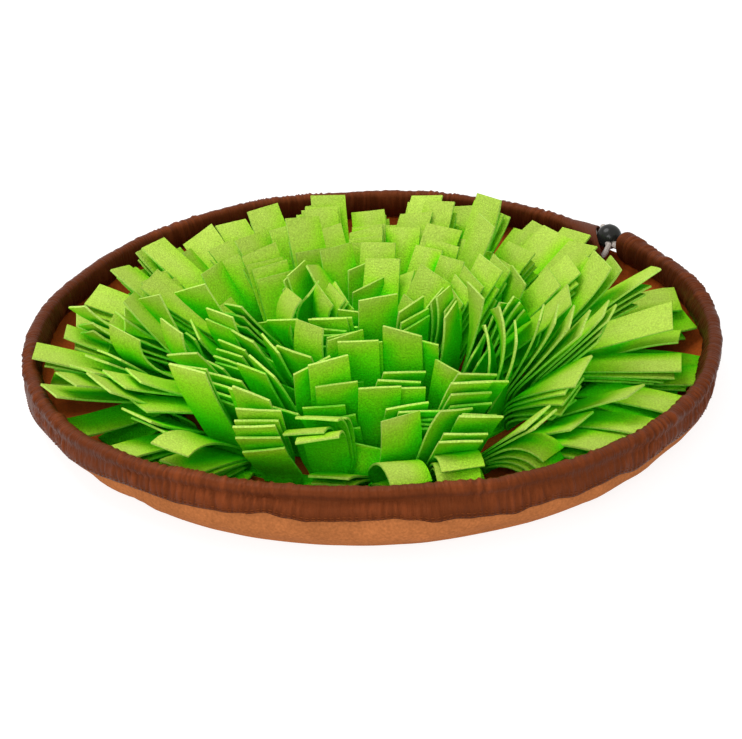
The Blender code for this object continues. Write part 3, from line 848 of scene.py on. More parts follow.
def bead_of_thread():
    """A stitch along X: a six-sided bar whose ends are drawn together and down."""
    deselect_all()
    bpy.ops.mesh.primitive_cylinder_add(
        vertices=6, radius=STITCH_RADIUS, depth=STITCH_LENGTH * STITCH_BAR, rotation=(0, math.pi / 2, 0),
    )
    bead = named("stitch")
    place_in_mesh(bead)
    for side in (-1, 1):
        edit_only(bead, "polygons", lambda face: face.normal.x * side > 0.9)
        reach = (side * STITCH_LENGTH * STITCH_END, 0.0, -STITCH_RADIUS * STITCH_DIP)
        bpy.ops.mesh.extrude_region_move(TRANSFORM_OT_translate={"value": reach})
        bpy.ops.transform.resize(value=(0.5, 0.5, 0.5))
        bpy.ops.object.mode_set(mode="OBJECT")
    return bead


def joined(parts, name):
    """Join copies into one object."""
    deselect_all()
    for part in parts:
        part.select_set(True)
    bpy.context.view_layer.objects.active = parts[0]
    bpy.ops.object.join()
    return named(name)


stitch = bead_of_thread()
stitch_shape = points_of(stitch)
stitches = []
chance = random.Random(5)
step = math.degrees(STITCH_PITCH / CHANNEL_RADIUS)
for row in STITCH_ROWS:
    for index in range(int(CASING_TURN / step) - 2):
        turn = (index + 1.0 + chance.uniform(-STITCH_PLAY, STITCH_PLAY)) * step
        middle = casing_point(turn, row, STITCH_LIFT)
        ahead = casing_point(turn + 0.2, row, STITCH_LIFT)
        outer = casing_point(turn, row, STITCH_LIFT + 0.001)
        along = (ahead - middle).normalized()
        up = (outer - middle).normalized()
        side = up.cross(along).normalized()
        place = Matrix((along, side, up)).transposed()
        copy = stitch.copy()
        copy.data = stitch.data.copy()
        scene.collection.objects.link(copy)
        move_points(copy, stitch_shape @ np.array(place).T + np.array(middle))
        stitches.append(copy)
bpy.data.objects.remove(stitch)
stitching = joined(stitches, "casing_stitches")
stitching.data.shade_smooth()
report(stitching)
THREAD_ORANGE = (0.15, 0.036, 0.008, 1.0)
thread = new_material("thread_orange", Roughness=0.8, Specular_IOR_Level=0.05)
finish_material(
    thread,
    place_group(
        thread, MOTTLE, Colour=THREAD_ORANGE, Patch_Scale=200.0, Patches=0.5, Grain_Scale=1500.0,
        Grain=0.4,
    ),
    place_group(thread, FIBRE, Scale=2500.0, Strength=0.5, Depth=0.0001),
    stitching,
)

# %% [markdown]
# ## The drawcord
# A pale grey braid runs right around inside the casing and out of both its mouths into the ball lock.
# A grid is rolled up into a tube along the cord's route, so that its UV map carries the braid's weave.

# %% The cord's route
CORD_RADIUS = 0.00225
CORD_STEP = 6.0
BALL_RADIUS = 0.0100
BALL_HEIGHT = 0.0405
STRAND_OFFSET = 0.0026
SLOT_FRONT = Vector((0.05, -0.97, -0.24)).normalized()
TAIL = 0.0040
STRAIGHT_FRONT = 0.0022
CORD_INSIDE = 2.0
RIGHT_SLACK = (0.45, 0.0018)
LEFT_LOOP = (
    # left, forward and down from the ball's middle
    (0.0098, -0.0124, 0.0034), (0.0134, -0.0010, 0.0028), (0.0122, 0.0090, 0.0075),
    (0.0075, 0.0155, 0.0055),
)
ball_middle = uneven(BALL_AZIMUTH, CHANNEL_RADIUS, BALL_HEIGHT)
across_slot = SLOT_FRONT.cross(Vector((0, 0, -1))).normalized()


def channel_point(azimuth):
    return uneven(azimuth, CHANNEL_RADIUS, CHANNEL_HEIGHT)


def cord_route():
    """The route through the lock, around inside the casing and back to the lock in a loop."""
    right = across_slot * STRAND_OFFSET
    straight = [
        -SLOT_FRONT * (BALL_RADIUS + TAIL), SLOT_FRONT * 0.0, SLOT_FRONT * BALL_RADIUS * 0.9,
        SLOT_FRONT * (BALL_RADIUS + STRAIGHT_FRONT),
    ]
    start = RIGHT_MOUTH - CORD_INSIDE
    end = LEFT_MOUTH + CORD_INSIDE - 360.0
    count = round((start - end) / CORD_STEP)
    route = [ball_middle + right + point for point in straight]
    share, sag = RIGHT_SLACK
    route.append(route[-1].lerp(channel_point(start), share) + SLOT_FRONT * sag)
    for index in range(count + 1):
        route.append(channel_point(start + (end - start) * index / count))
    for left, forward, down in LEFT_LOOP:
        route.append(ball_middle - across_slot * left + SLOT_FRONT * forward - Vector((0, 0, down)))
    route += [ball_middle - right + point for point in reversed(straight)]
    return route


ROUTE_PIECES = 8
cord_line = [Vector(row) for row in through(cord_route(), ROUTE_PIECES)]
cord_length = sum((b - a).length for a, b in zip(cord_line, cord_line[1:]))
print("drawcord", round(cord_length, 3), "m long,", len(cord_line), "points")


# %% Roll the cord up
def frames_along(line):
    """For each point of a line, two directions across it that turn as little as they can."""
    frames = []
    side = None
    for index, point in enumerate(line):
        along = (line[min(index + 1, len(line) - 1)] - line[max(index - 1, 0)]).normalized()
        if side is None:
            side = along.orthogonal()
        side = (side - along * side.dot(along)).normalized()
        frames.append((point, side, along.cross(side)))
    return frames


def tube(name, line, radius, sides):
    """A grid rolled up along a line, with closed ends."""
    pipe = flat_band(name, len(line) - 1, sides)
    frames = frames_along(line)
    places = []
    for x, y, _ in points_of(pipe):
        point, side, other = frames[round(x * (len(line) - 1))]
        angle = math.tau * y
        places.append(point + (side * math.cos(angle) + other * math.sin(angle)) * radius)
    move_points(pipe, places)
    edit_all(pipe)
    bpy.ops.mesh.remove_doubles(threshold=MERGE_DISTANCE)
    bpy.ops.mesh.select_all(action="DESELECT")
    bpy.ops.mesh.select_non_manifold()
    bpy.ops.mesh.fill_holes(sides=0)
    bpy.ops.mesh.select_all(action="SELECT")
    bpy.ops.mesh.normals_make_consistent(inside=False)
    bpy.ops.object.mode_set(mode="OBJECT")
    pipe.data.shade_smooth()
    return pipe


cord = tube("drawcord_braid", cord_line, CORD_RADIUS, 16)
report(cord)
CORD_GREY = (0.44, 0.38, 0.34, 1.0)
BRAID_LENGTH = 0.0034  # metres of cord to one turn of its yarns
YARNS = 8.0
braid = new_material("cord_braid_grey", Roughness=0.75)
tree = braid.node_tree
on_cord = stretched_uv(tree, (cord_length / BRAID_LENGTH, 1.0, 1.0))
parts = add_node(tree, "ShaderNodeSeparateXYZ", {"Vector": on_cord}).outputs
bands = []
for direction in (-1.0, 1.0):
    around_cord = maths(tree, "MULTIPLY_ADD", parts["Y"], YARNS * direction, parts["X"])
    half_turns = maths(tree, "MULTIPLY", around_cord, math.tau / 2.0)
    bands.append(maths(tree, "SINE", half_turns))
woven = maths(tree, "MULTIPLY", *bands)
finish_material(
    braid,
    place_group(
        braid, MOTTLE, Colour=CORD_GREY, Patch_Scale=300.0, Patches=0.3, Grain_Scale=1800.0, Grain=0.5,
    ),
    bumped(tree, woven, 0.6, 0.0003),
    cord,
)

# %% [markdown]
# ## The ball lock
# A glossy black ball with a slot right through it grips both strands of the cord. The ball is a fine
# sphere, and a cutter with two half-round ends, wide enough for two cords, makes the slot.

# %% The ball and its slot
GAP = 0.0003
SLOT_PLAY = 0.0001
slot_radius = CORD_RADIUS + GAP + SLOT_PLAY
slot_turn = Matrix((across_slot, SLOT_FRONT.cross(across_slot), SLOT_FRONT)).transposed().to_4x4()
deselect_all()
bpy.ops.mesh.primitive_uv_sphere_add(segments=64, ring_count=40, radius=BALL_RADIUS)
ball = named("ball_lock")
deselect_all()
bpy.ops.mesh.primitive_cylinder_add(vertices=42, radius=slot_radius, depth=BALL_RADIUS * 3.0)
cutter = named("slot_cutter")
for side in (-1, 1):
    edit_only(cutter, "vertices", lambda vert: vert.co.x * side > 0.0)
    bpy.ops.transform.translate(value=(side * STRAND_OFFSET, 0.0, 0.0))
bpy.ops.object.mode_set(mode="OBJECT")
apply_modifier(ball, "BOOLEAN", object=cutter, operation="DIFFERENCE", solver="EXACT")
bpy.data.objects.remove(cutter)
apply_modifier(ball, "BEVEL", width=0.0003, segments=2, limit_method="ANGLE", angle_limit=0.6)
ball.matrix_world = Matrix.Translation(ball_middle) @ slot_turn
place_in_mesh(ball)
ball.data.shade_smooth()
report(ball)
BALL_BLACK = (0.018, 0.018, 0.016, 1.0)
plastic = new_material("ball_black_gloss", Roughness=0.2, Specular_IOR_Level=0.22)
finish_material(
    plastic,
    place_group(
        plastic, MOTTLE, Colour=BALL_BLACK, Patch_Scale=260.0, Patches=0.5, Grain_Scale=1500.0, Grain=0.6,
    ),
    place_group(plastic, FIBRE, Scale=420.0, Strength=0.15, Depth=0.0002),
    ball,
)

# %% [markdown]
# ## The felt
# Strips of green felt, 28 mm wide and 1.5 mm thick, are sewn in rounds to the panel and lean
# outward in stacks, like the pages of an open book. A strip is modelled once: a flat grid, thickened.
# Each copy is then bent along its own path. Its lean from the upright grows from the root to its full
# value after a share of its length, its tip may curl further, and it twists a little on the way.

# %% A strip's path
FELT_MIDDLE = Vector((0.0, -0.0100, 0.0))
FELT_THICKNESS = 0.0015
STRIP_WIDTH = 0.0280
STRIP_ROWS = 12
ROOT_HEIGHT = 0.0038
ROOT_LEAN = 0.25
RING_RADII = {1: 0.0160, 2: 0.0450, 3: 0.0780, 4: 0.1120, 5: 0.1460}
RING_BENDS = {1: 0.70, 2: 0.55, 3: 0.50, 4: 0.40, 5: 0.28}
PATH_STEPS = 40


def strip_frames(ring, row, shares):
    """(place, across, face) of a strip's sections, as arrays of one row for each share.

    A row of the table gives the root's azimuth and its distance out from the ring's first line, and
    then the turn of the heading, the lean, the tip's curl, the length and the twist.
    """
    azimuth, offset, turn, lean, curl, length, twist = row
    angle = math.radians(azimuth)
    heading = math.radians(azimuth + turn)
    radius = RING_RADII[ring] + offset / 1000.0
    root = np.array(FELT_MIDDLE) + (radius * math.cos(angle), radius * math.sin(angle), ROOT_HEIGHT)
    outward = np.array((math.cos(heading), math.sin(heading), 0.0))
    sideways = np.array((-outward[1], outward[0], 0.0))
    upward = np.array((0.0, 0.0, 1.0))

    def leans(at):
        settled = np.clip(at / RING_BENDS[ring], 0.0, 1.0)
        settled = settled * settled * (3.0 - 2.0 * settled)
        return np.radians(lean * (ROOT_LEAN + (1.0 - ROOT_LEAN) * settled) + curl * at ** 3)

    middles = (np.arange(PATH_STEPS) + 0.5) / PATH_STEPS
    angles = leans(middles)[:, None]
    steps = (np.sin(angles) * outward + np.cos(angles) * upward) * (length / 1000.0 / PATH_STEPS)
    walked = np.vstack((root, root + np.cumsum(steps, axis=0)))
    at = np.linspace(0.0, 1.0, PATH_STEPS + 1)
    places = np.stack([np.interp(shares, at, walked[:, axis]) for axis in range(3)], axis=1)
    angles = leans(np.asarray(shares))[:, None]
    along = np.sin(angles) * outward + np.cos(angles) * upward
    twists = (np.radians(twist) * np.asarray(shares))[:, None]
    across = sideways * np.cos(twists) + np.cross(along, sideways) * np.sin(twists)
    return places, across, np.cross(along, across)


# %% [markdown]
# The table below follows the photograph. The tips that show were read off it one by one, and a
# least-squares fit through the camera found for each a path that ends there. How far away a strip stands
# is weakly known from one picture, and some of these strips pass through each other.

# %% The strips that show
PLACED_STRIPS = {
    1: (
        (11.5, 4.8, 8.7, 27.9, 5.3, 79.8, 38), (63.5, 5.7, 8.2, 29.3, 57.5, 71.0, -26),
        (78.0, 5.7, 1.5, 30.9, 4.7, 77.4, -17), (88.8, 4.9, 10.6, 25.6, -30.7, 59.3, 27),
        (123.4, 7.6, 13.5, 36.3, 16.0, 81.3, 34), (185.0, 5.8, 6.3, 24.4, -67.4, 72.3, 11),
        (252.1, 4.8, 1.0, 12.3, -1.0, 67.8, 6), (259.5, 7.3, -2.9, 18.2, 5.2, 60.8, 6),
    ),
    2: (
        (1.6, 2.9, 6.8, 32.3, -2.4, 93.9, 24), (13.9, 8.5, 7.0, 47.5, -19.8, 88.9, 3),
        (27.3, 3.3, 15.5, 21.3, 7.1, 78.5, -11), (46.9, 5.3, 4.1, 30.3, 0.1, 84.0, 4),
        (52.1, 2.3, 6.2, 22.9, 17.4, 79.5, -17), (54.8, 7.7, 4.0, 35.7, 3.3, 63.8, -17),
        (56.1, 7.8, 0.3, 32.5, 6.0, 72.0, -11), (87.2, 8.0, -4.0, 40.1, -2.3, 77.2, -10),
        (92.6, 4.4, 14.5, 24.1, -19.1, 61.4, 33), (107.8, 5.1, 4.5, 25.2, -4.0, 76.8, 12),
        (140.2, 4.0, 12.6, 19.4, -3.7, 72.6, 0), (164.6, 1.5, -10.1, 14.1, -61.6, 69.0, 6),
        (192.6, 7.2, -1.2, 44.2, -6.4, 86.2, 26), (202.6, 5.9, 5.7, 32.9, -86.8, 84.4, -8),
        (211.5, 2.1, -0.6, 26.6, 0.6, 71.4, 30), (242.9, 4.4, 1.9, 14.3, 5.2, 79.0, 11),
        (274.3, 4.8, 4.4, 6.4, 2.8, 92.1, 14), (294.8, 5.7, 8.2, 8.8, 4.6, 84.9, 18),
        (328.5, 6.9, -11.4, 19.1, -36.7, 83.1, 21), (356.5, 8.6, 16.4, 31.7, -4.0, 79.4, 17),
    ),
    3: (
        (1.2, 4.4, 6.2, 43.7, -1.7, 88.7, 8), (4.4, 1.8, 5.7, 30.1, -13.1, 77.8, 7),
        (7.4, 6.1, 8.8, 54.8, -2.9, 100.8, 2), (32.1, 4.6, -1.8, 45.0, 3.3, 86.2, 7),
        (46.8, 5.1, -24.0, 27.7, -5.3, 95.0, -1), (50.7, 4.8, 4.4, 40.7, -15.7, 74.8, -41),
        (60.9, 1.7, 2.0, 32.5, 23.0, 83.4, 8), (70.9, 8.1, -5.6, 40.0, -0.9, 74.8, -6),
        (76.7, 4.9, 1.0, 35.9, 1.4, 76.5, -5), (89.2, 7.9, 1.3, 43.2, -1.8, 73.0, -18),
        (91.0, 3.7, -4.0, 34.6, 4.5, 78.0, -20), (116.4, 5.3, -7.1, 33.9, -1.8, 89.4, 11),
        (134.8, 5.1, -2.7, 41.9, 3.7, 89.2, 11), (142.2, 3.3, -17.9, 30.6, 1.7, 77.4, -20),
        (178.0, 7.5, -6.7, 56.8, -9.6, 109.9, -12), (190.0, 4.9, -5.4, 36.2, -5.2, 96.0, 60),
        (204.7, 4.4, 12.0, 36.7, -26.1, 90.5, 7), (219.5, 7.7, -1.0, 39.9, -17.3, 78.4, 5),
        (225.2, 5.2, -8.1, 31.3, -2.1, 84.9, 0), (234.6, 5.3, -20.3, 25.9, -7.1, 75.4, -9),
        (242.5, 3.0, -3.7, 18.0, -39.2, 83.8, -18), (243.2, 5.3, -5.9, 25.6, -0.0, 77.7, -4),
        (257.5, 1.5, 0.5, 7.4, -12.4, 75.1, 43), (264.4, 5.0, 1.4, 13.8, -0.1, 80.4, 4),
        (274.6, 8.7, 9.5, 42.4, -4.0, 76.4, -11), (280.2, 6.1, -0.0, 31.1, 11.0, 73.2, -5),
        (284.5, 4.0, -14.5, 13.1, -1.5, 85.0, -22), (292.0, 5.0, -20.7, 12.9, 8.2, 77.6, -25),
        (306.5, 3.1, 7.8, 13.0, -22.2, 87.1, 25), (317.0, 4.2, 6.9, 14.1, -14.0, 98.0, 55),
        (329.2, 3.0, 46.4, 23.7, 20.3, 83.2, -45), (343.3, 4.8, 12.5, 51.7, -12.5, 97.2, 6),
    ),
    4: (
        (1.8, 8.3, 16.3, 64.1, 5.1, 118.0, -24), (3.4, 2.7, 3.7, 44.9, -19.9, 98.1, 13),
        (4.4, 4.8, 6.4, 53.1, -20.9, 99.3, -3), (7.9, 1.4, 0.4, 45.4, -13.1, 89.7, 16),
        (23.9, 5.1, 17.5, 63.5, -2.0, 97.2, -5), (39.7, 5.1, 0.1, 60.6, 9.4, 96.1, 14),
        (55.3, 5.2, -3.7, 37.4, -14.5, 95.0, -17), (69.3, 5.0, 1.7, 46.8, 2.7, 79.9, -11),
        (70.7, 2.7, -1.5, 43.1, 9.5, 89.6, -17), (79.8, 2.6, -12.8, 41.6, 10.5, 78.2, -13),
        (101.8, 4.6, 1.1, 51.7, 7.4, 69.9, -16), (120.2, 2.1, -3.6, 44.7, -4.0, 93.2, 4),
        (130.6, 4.5, 0.1, 57.7, 2.6, 79.6, -4), (149.1, 5.2, 2.3, 53.9, -1.3, 102.6, 2),
        (167.1, 5.6, -19.7, 65.0, -4.7, 102.2, 12), (169.8, 4.5, -21.7, 62.6, -3.1, 108.9, 19),
        (182.9, 8.2, 7.6, 65.7, -25.9, 117.9, 33), (193.5, 4.6, -37.2, 52.3, -10.7, 97.3, 18),
        (196.2, 3.9, 5.6, 74.6, -87.2, 100.4, 35), (198.0, 4.2, -25.6, 34.6, -8.3, 95.3, 54),
        (206.5, 7.4, 10.6, 65.0, -3.5, 104.7, -3), (210.4, 6.1, 0.7, 60.2, -3.7, 92.0, 2),
        (211.1, 4.6, 1.0, 42.8, -45.1, 97.1, 4), (216.5, 8.7, -0.6, 67.2, 3.5, 91.5, -1),
        (221.1, 4.3, -6.6, 35.6, 5.1, 89.9, 27), (228.8, 6.9, 15.9, 38.3, -4.6, 84.7, -6),
        (238.9, 4.5, -13.0, 25.5, -3.0, 77.9, 0), (241.9, 3.2, -9.2, 21.5, 11.0, 82.8, -18),
        (251.2, 2.7, 10.2, 11.6, 10.8, 78.1, 40), (256.6, 3.3, 5.3, 11.0, 4.3, 81.6, 30),
        (258.8, 4.8, 7.4, 19.5, -2.1, 68.7, 15), (270.7, 4.8, 6.5, 21.9, 0.5, 69.0, -5),
        (278.0, 5.8, 2.0, 32.1, 3.6, 63.0, 2), (279.5, 2.9, -5.6, 18.4, 2.9, 62.8, -6),
        (280.1, 8.7, 4.3, 37.5, -1.5, 63.1, -7), (293.6, 7.7, -1.6, 33.2, 6.0, 82.7, -11),
        (294.4, 2.5, -4.8, 15.1, -20.2, 66.1, -76), (295.0, 3.2, 11.7, 26.0, 12.5, 76.7, -22),
        (299.3, 4.9, 1.1, 33.6, 4.3, 74.5, -16), (312.9, 4.0, 5.7, 16.7, -47.5, 96.5, 57),
        (324.4, 5.2, -14.2, 52.1, 10.3, 93.6, 28), (330.1, 1.8, -3.9, 39.5, -1.6, 98.3, 18),
        (336.0, 4.4, 10.9, 43.3, -6.3, 97.2, -4), (344.8, 8.4, 2.2, 85.1, -0.7, 113.3, -1),
        (351.0, 5.6, 3.3, 69.3, 4.5, 115.9, 17),
    ),
    5: (
        (8.1, 5.2, 1.8, 87.0, -2.7, 96.7, 3), (14.2, 2.7, -4.2, 73.4, 22.6, 96.7, 12),
        (39.0, 5.1, 11.9, 68.2, 1.6, 89.2, -4), (53.6, 5.1, -9.9, 68.2, 4.8, 84.6, 7),
        (65.4, 5.0, -15.8, 48.4, -9.5, 78.0, -11), (70.6, 4.2, -11.3, 52.6, -2.5, 76.2, -25),
        (77.9, 2.1, -6.3, 48.3, 4.2, 81.8, -12), (78.3, 5.0, -5.3, 51.3, -0.5, 74.5, -7),
        (88.5, 4.6, 6.0, 50.4, 4.2, 67.1, -13), (100.6, 5.2, -6.1, 46.6, -1.7, 80.5, 4),
        (121.0, 4.9, 1.7, 58.6, 0.7, 79.1, 1), (131.8, 5.1, -8.2, 60.2, 7.3, 80.4, -26),
        (143.7, 4.7, 4.6, 60.2, -14.6, 83.8, 20), (156.3, 4.6, 1.4, 77.6, 1.7, 90.4, -9),
        (176.3, 3.6, 3.8, 70.5, -7.5, 85.2, 8), (189.6, 6.1, -7.4, 69.0, 4.4, 102.4, 5),
        (197.4, 1.5, 21.0, 60.1, 8.1, 103.0, 2), (197.6, 7.5, 16.5, 69.3, -3.8, 102.4, 4),
        (198.8, 2.6, 22.6, 86.1, -9.3, 91.6, -4), (210.5, 1.5, 7.6, 50.6, 5.8, 95.5, -5),
        (216.0, 1.9, 18.2, 59.5, -8.9, 79.9, -5), (219.2, 5.5, 11.7, 73.4, 5.3, 85.8, 5),
        (228.2, 2.5, 14.4, 31.3, -10.4, 98.7, -3), (229.8, 3.8, 12.7, 51.7, 43.9, 91.8, -9),
        (232.4, 5.5, 7.5, 68.2, 8.4, 76.5, -7), (243.0, 4.0, 9.3, 24.3, -0.7, 83.7, -15),
        (244.4, 6.7, 14.5, 32.0, -7.6, 80.0, 5), (258.5, 2.9, 4.1, 27.2, 63.4, 82.7, 11),
        (264.2, 5.6, -12.4, 58.2, 12.1, 59.4, 5), (272.4, 4.1, 14.2, 45.0, 88.8, 72.4, -11),
        (275.9, 2.8, 0.4, 27.9, -45.8, 59.0, 21), (282.1, 3.8, 37.2, 23.6, 13.2, 67.9, -20),
        (286.8, 7.2, -4.1, 43.5, 3.3, 68.0, -8), (287.7, 8.9, -9.2, 38.8, 78.7, 69.7, 3),
        (288.5, 5.0, -4.7, 41.0, -0.9, 66.5, -9), (291.5, 1.8, 1.2, 31.7, 10.8, 69.1, -16),
        (298.9, 5.7, 25.0, 49.0, 82.9, 65.7, -7), (300.5, 4.0, 13.6, 46.0, 5.9, 71.1, 8),
        (312.2, 5.0, 4.9, 70.9, 13.3, 77.5, -4), (323.6, 4.8, -3.1, 74.2, 12.1, 85.0, -5),
        (340.8, 2.7, -18.3, 81.3, 7.5, 92.9, -1), (350.0, 8.4, -6.1, 88.4, -6.9, 89.3, -1),
        (357.7, 4.1, -11.0, 86.0, 12.7, 91.2, -3),
    ),
}

print({ring: len(placed) for ring, placed in PLACED_STRIPS.items()}, "strips in the table")

# %% [markdown]
# ## Keeping the other strips apart
# Felt strips should lie against each other and not in each other. A thin closed sleeve stands for each
# strip in a search tree, and a new strip is only taken if its sleeve touches nothing. It also may not
# hide a placed tip from the camera, which is tested by looking from the tip to the camera. The placed
# strips are not tested against each other, only against the panel, casing, cord and ball.

# %% Room for a strip
SLEEVE_SHARES = np.linspace(0.0, 1.0, 9)
SLEEVE_SIGNS = ((-1, -1), (1, -1), (1, 1), (-1, 1))
SLEEVE_FACES = [(3, 2, 1, 0)]
for part in range(len(SLEEVE_SHARES) - 1):
    for corner in range(4):
        following = (corner + 1) % 4
        base = 4 * part
        SLEEVE_FACES.append((base + corner, base + following, base + 4 + following, base + 4 + corner))
SLEEVE_FACES.append(tuple(4 * (len(SLEEVE_SHARES) - 1) + corner for corner in range(4)))
ROOT_SHARE = 0.6  # of a strip's width at its root
ROOT_END = 0.2  # share of the length at which it has its full width
ROOT_LIFT = 0.0006  # metres by which a sleeve starts higher
FLOOR_CLEAR = 0.0023  # height that a new sleeve stays above
TIP_SHARES = np.array((0.90, 0.98))  # of the length, the parts of a tip that should show
TIP_SIDES = (-0.42, 0.0, 0.42)  # of the width
SIGHT_START = 0.004  # metres from the tip toward the camera


def narrowed(shares):
    """A strip's share of its full width and depth, less at its root."""
    return np.interp(shares, (0.0, ROOT_END), (ROOT_SHARE, 1.0))


def sleeve(ring, row, clearance=0.0):
    """The corners of a closed sleeve around a strip."""
    places, across, face = strip_frames(ring, row, SLEEVE_SHARES)
    widths = STRIP_WIDTH / 2 * narrowed(SLEEVE_SHARES) + clearance
    depths = FELT_THICKNESS / 2 * narrowed(SLEEVE_SHARES) + clearance
    corners = [
        places + across * (a * widths)[:, None] + face * (b * depths)[:, None] for a, b in SLEEVE_SIGNS
    ]
    points = np.stack(corners, axis=1).reshape(-1, 3)
    points[:4, 2] += ROOT_LIFT
    return points


def tree_of(points):
    """A sleeve's search tree."""
    return BVHTree.FromPolygons(points.tolist(), SLEEVE_FACES)


class Room:
    """The strips that have a place so far, and the pieces around them."""

    def __init__(self, pieces, eye):
        graph = bpy.context.evaluated_depsgraph_get()
        self.pieces = [BVHTree.FromObject(piece, graph) for piece in pieces]
        self.trees = []
        self.lows = np.empty((0, 3))
        self.highs = np.empty((0, 3))
        self.eye = eye
        self.seen = []

    def touches(self, points):
        """Whether a sleeve touches the panel, the casing, the cord or the ball."""
        tree = tree_of(points)
        return any(tree.overlap(piece) for piece in self.pieces)

    def free(self, points):
        """Whether a sleeve touches nothing that is there, and stays above the panel."""
        if points[:, 2].min() < FLOOR_CLEAR:
            return False
        tree = tree_of(points)
        near = np.all((self.lows < points.max(axis=0)) & (self.highs > points.min(axis=0)), axis=1)
        for index in np.flatnonzero(near):
            if tree.overlap(self.trees[index]):
                return False
        return not self.touches(points)

    def hides(self, points):
        """Whether a sleeve comes between the camera and a tip that has to show."""
        tree = tree_of(points)
        return any(tree.ray_cast(start, way)[0] is not None for start, way in self.seen)

    def add(self, points):
        """Take in a sleeve."""
        self.trees.append(tree_of(points))
        self.lows = np.vstack((self.lows, points.min(axis=0)))
        self.highs = np.vstack((self.highs, points.max(axis=0)))

    def keep_in_sight(self, ring, row):
        """Remember the parts of a placed strip's tip that the camera sees."""
        places, across, _ = strip_frames(ring, row, TIP_SHARES)
        for place, sideways in zip(places, across):
            for share in TIP_SIDES:
                point = Vector(place + sideways * share * STRIP_WIDTH)
                way = (self.eye - point).normalized()
                start = point + way * SIGHT_START
                if not any(tree.ray_cast(start, way)[0] is not None for tree in self.trees):
                    self.seen.append((start, way))


CUTS = 6  # times that a strip which touches the pieces around it is cut back
CUT_SHARE = 0.98  # of its length that each cut leaves
CUT_CLEARANCE = 0.0004
room = Room([panel, casing, cord, ball], camera_place)
strips = []  # (ring, row)
for ring, placed in PLACED_STRIPS.items():
    for row in placed:
        for cut in range(CUTS):
            if not room.touches(sleeve(ring, row, CUT_CLEARANCE)):
                break
            row = row[:5] + (row[5] * CUT_SHARE,) + row[6:]
        strips.append((ring, row))
        room.add(sleeve(ring, row))
for ring, row in strips:
    room.keep_in_sight(ring, row)
print(len(strips), "strips placed,", len(room.seen), "points of their tips in sight")

# %% [markdown]
# ## Companions and filling
# Each placed strip gets companions wherever there is room, up to three on each side. They lie against it
# a felt's thickness further out or in and end a little shorter. Then the rounds are filled, and last a
# few bare spots at the front get short strips. All these come from chance with a fixed seed.

# %% Fill the rounds
COMPANION_GAP = 1.9  # millimetres
COMPANION_LEVELS = 3
COMPANION_TRIES = 16
COMPANION_LOOSENING = 0.25  # added to what chance does, with each try
COMPANION_LENGTHS = (0.86, 1.0)
RING_DEPTH = 15.0  # millimetres over which a ring's roots lie
FILL_STEP = 0.009  # metres around a ring between two places to try
FILL_DEPTH_STEP = 1.9  # millimetres
FILL_TRIES = 13
FILL_RANGES = (
    # what chance adds to offset, turn, lean and curl, the share of the length, what it adds to the twist
    (-0.6, 0.6), (-12.0, 12.0), (-20.0, 16.0), (-10.0, 10.0), (0.40, 1.0), (-12.0, 12.0),
)
FILL_CURL = 0.6  # share of its model's curl that a strip takes
FILL_TWIST = 0.5
BARE_SPOTS = ((5, 252.0), (5, 255.0), (5, 267.0), (5, 265.0), (4, 252.0), (4, 267.0), (5, 295.0))
SPOT_TRIES = 120
SPOT_RANGES = (
    # what chance adds to the azimuth, and a strip's offset, turn, lean, curl, length and twist
    (-2.5, 2.5), (-2.0, RING_DEPTH), (-40.0, 40.0), (-25.0, 30.0), (-40.0, 50.0), (16.0, 40.0),
    (-25.0, 25.0),
)


def try_strip(ring, row):
    """Take a strip if there is room for it."""
    points = sleeve(ring, row)
    if not room.free(points) or room.hides(points):
        return False
    room.add(points)
    strips.append((ring, row))
    return True


def companion_of(row, direction, loose):
    """A strip that lies against another, outside it or inside it."""
    azimuth, offset, turn, lean, curl, length, twist = row
    return (
        azimuth + chance.uniform(-1.0, 1.0) * loose,
        offset + direction * COMPANION_GAP,
        turn + chance.uniform(-2.0, 2.0) * loose,
        lean + direction * chance.uniform(0.0, 2.5) * loose,
        curl + chance.uniform(-6.0, 6.0),
        length * chance.uniform(*COMPANION_LENGTHS),
        twist + chance.uniform(-3.0, 3.0) * loose,
    )


def drawn(ranges):
    """A number by chance from each range."""
    return [chance.uniform(low, high) for low, high in ranges]


chance = random.Random(23)
placed_count = len(strips)
for ring, row in list(strips):
    for direction in (-1, 1):
        before = row
        for level in range(COMPANION_LEVELS):
            for attempt in range(COMPANION_TRIES):
                other = companion_of(before, direction, 1.0 + COMPANION_LOOSENING * attempt)
                if try_strip(ring, other):
                    before = other
                    break
            else:
                break
companion_count = len(strips) - placed_count
models = {ring: [row for own, row in strips if own == ring] for ring in RING_RADII}
for ring, radius in RING_RADII.items():
    stops = round(math.tau * (radius + RING_DEPTH / 2000.0) / FILL_STEP)
    for offset in np.arange(0.0, RING_DEPTH, FILL_DEPTH_STEP):
        for stop in range(stops):
            azimuth = 360.0 * (stop + chance.uniform(-0.5, 0.5)) / stops
            model = min(models[ring], key=lambda row: abs(turn_between(row[0], azimuth)))
            for attempt in range(FILL_TRIES):
                shift, turn, lean, curl, share, twist = drawn(FILL_RANGES)
                other = (
                    azimuth, offset + shift, model[2] + turn, model[3] + lean,
                    FILL_CURL * model[4] + curl, model[5] * share, FILL_TWIST * model[6] + twist,
                )
                if try_strip(ring, other):
                    break
for ring, azimuth in BARE_SPOTS:
    for attempt in range(SPOT_TRIES):
        shift, *others = drawn(SPOT_RANGES)
        try_strip(ring, (azimuth + shift, *others))
print(placed_count, "placed,", companion_count, "companions,",
      len(strips) - placed_count - companion_count, "filled in")
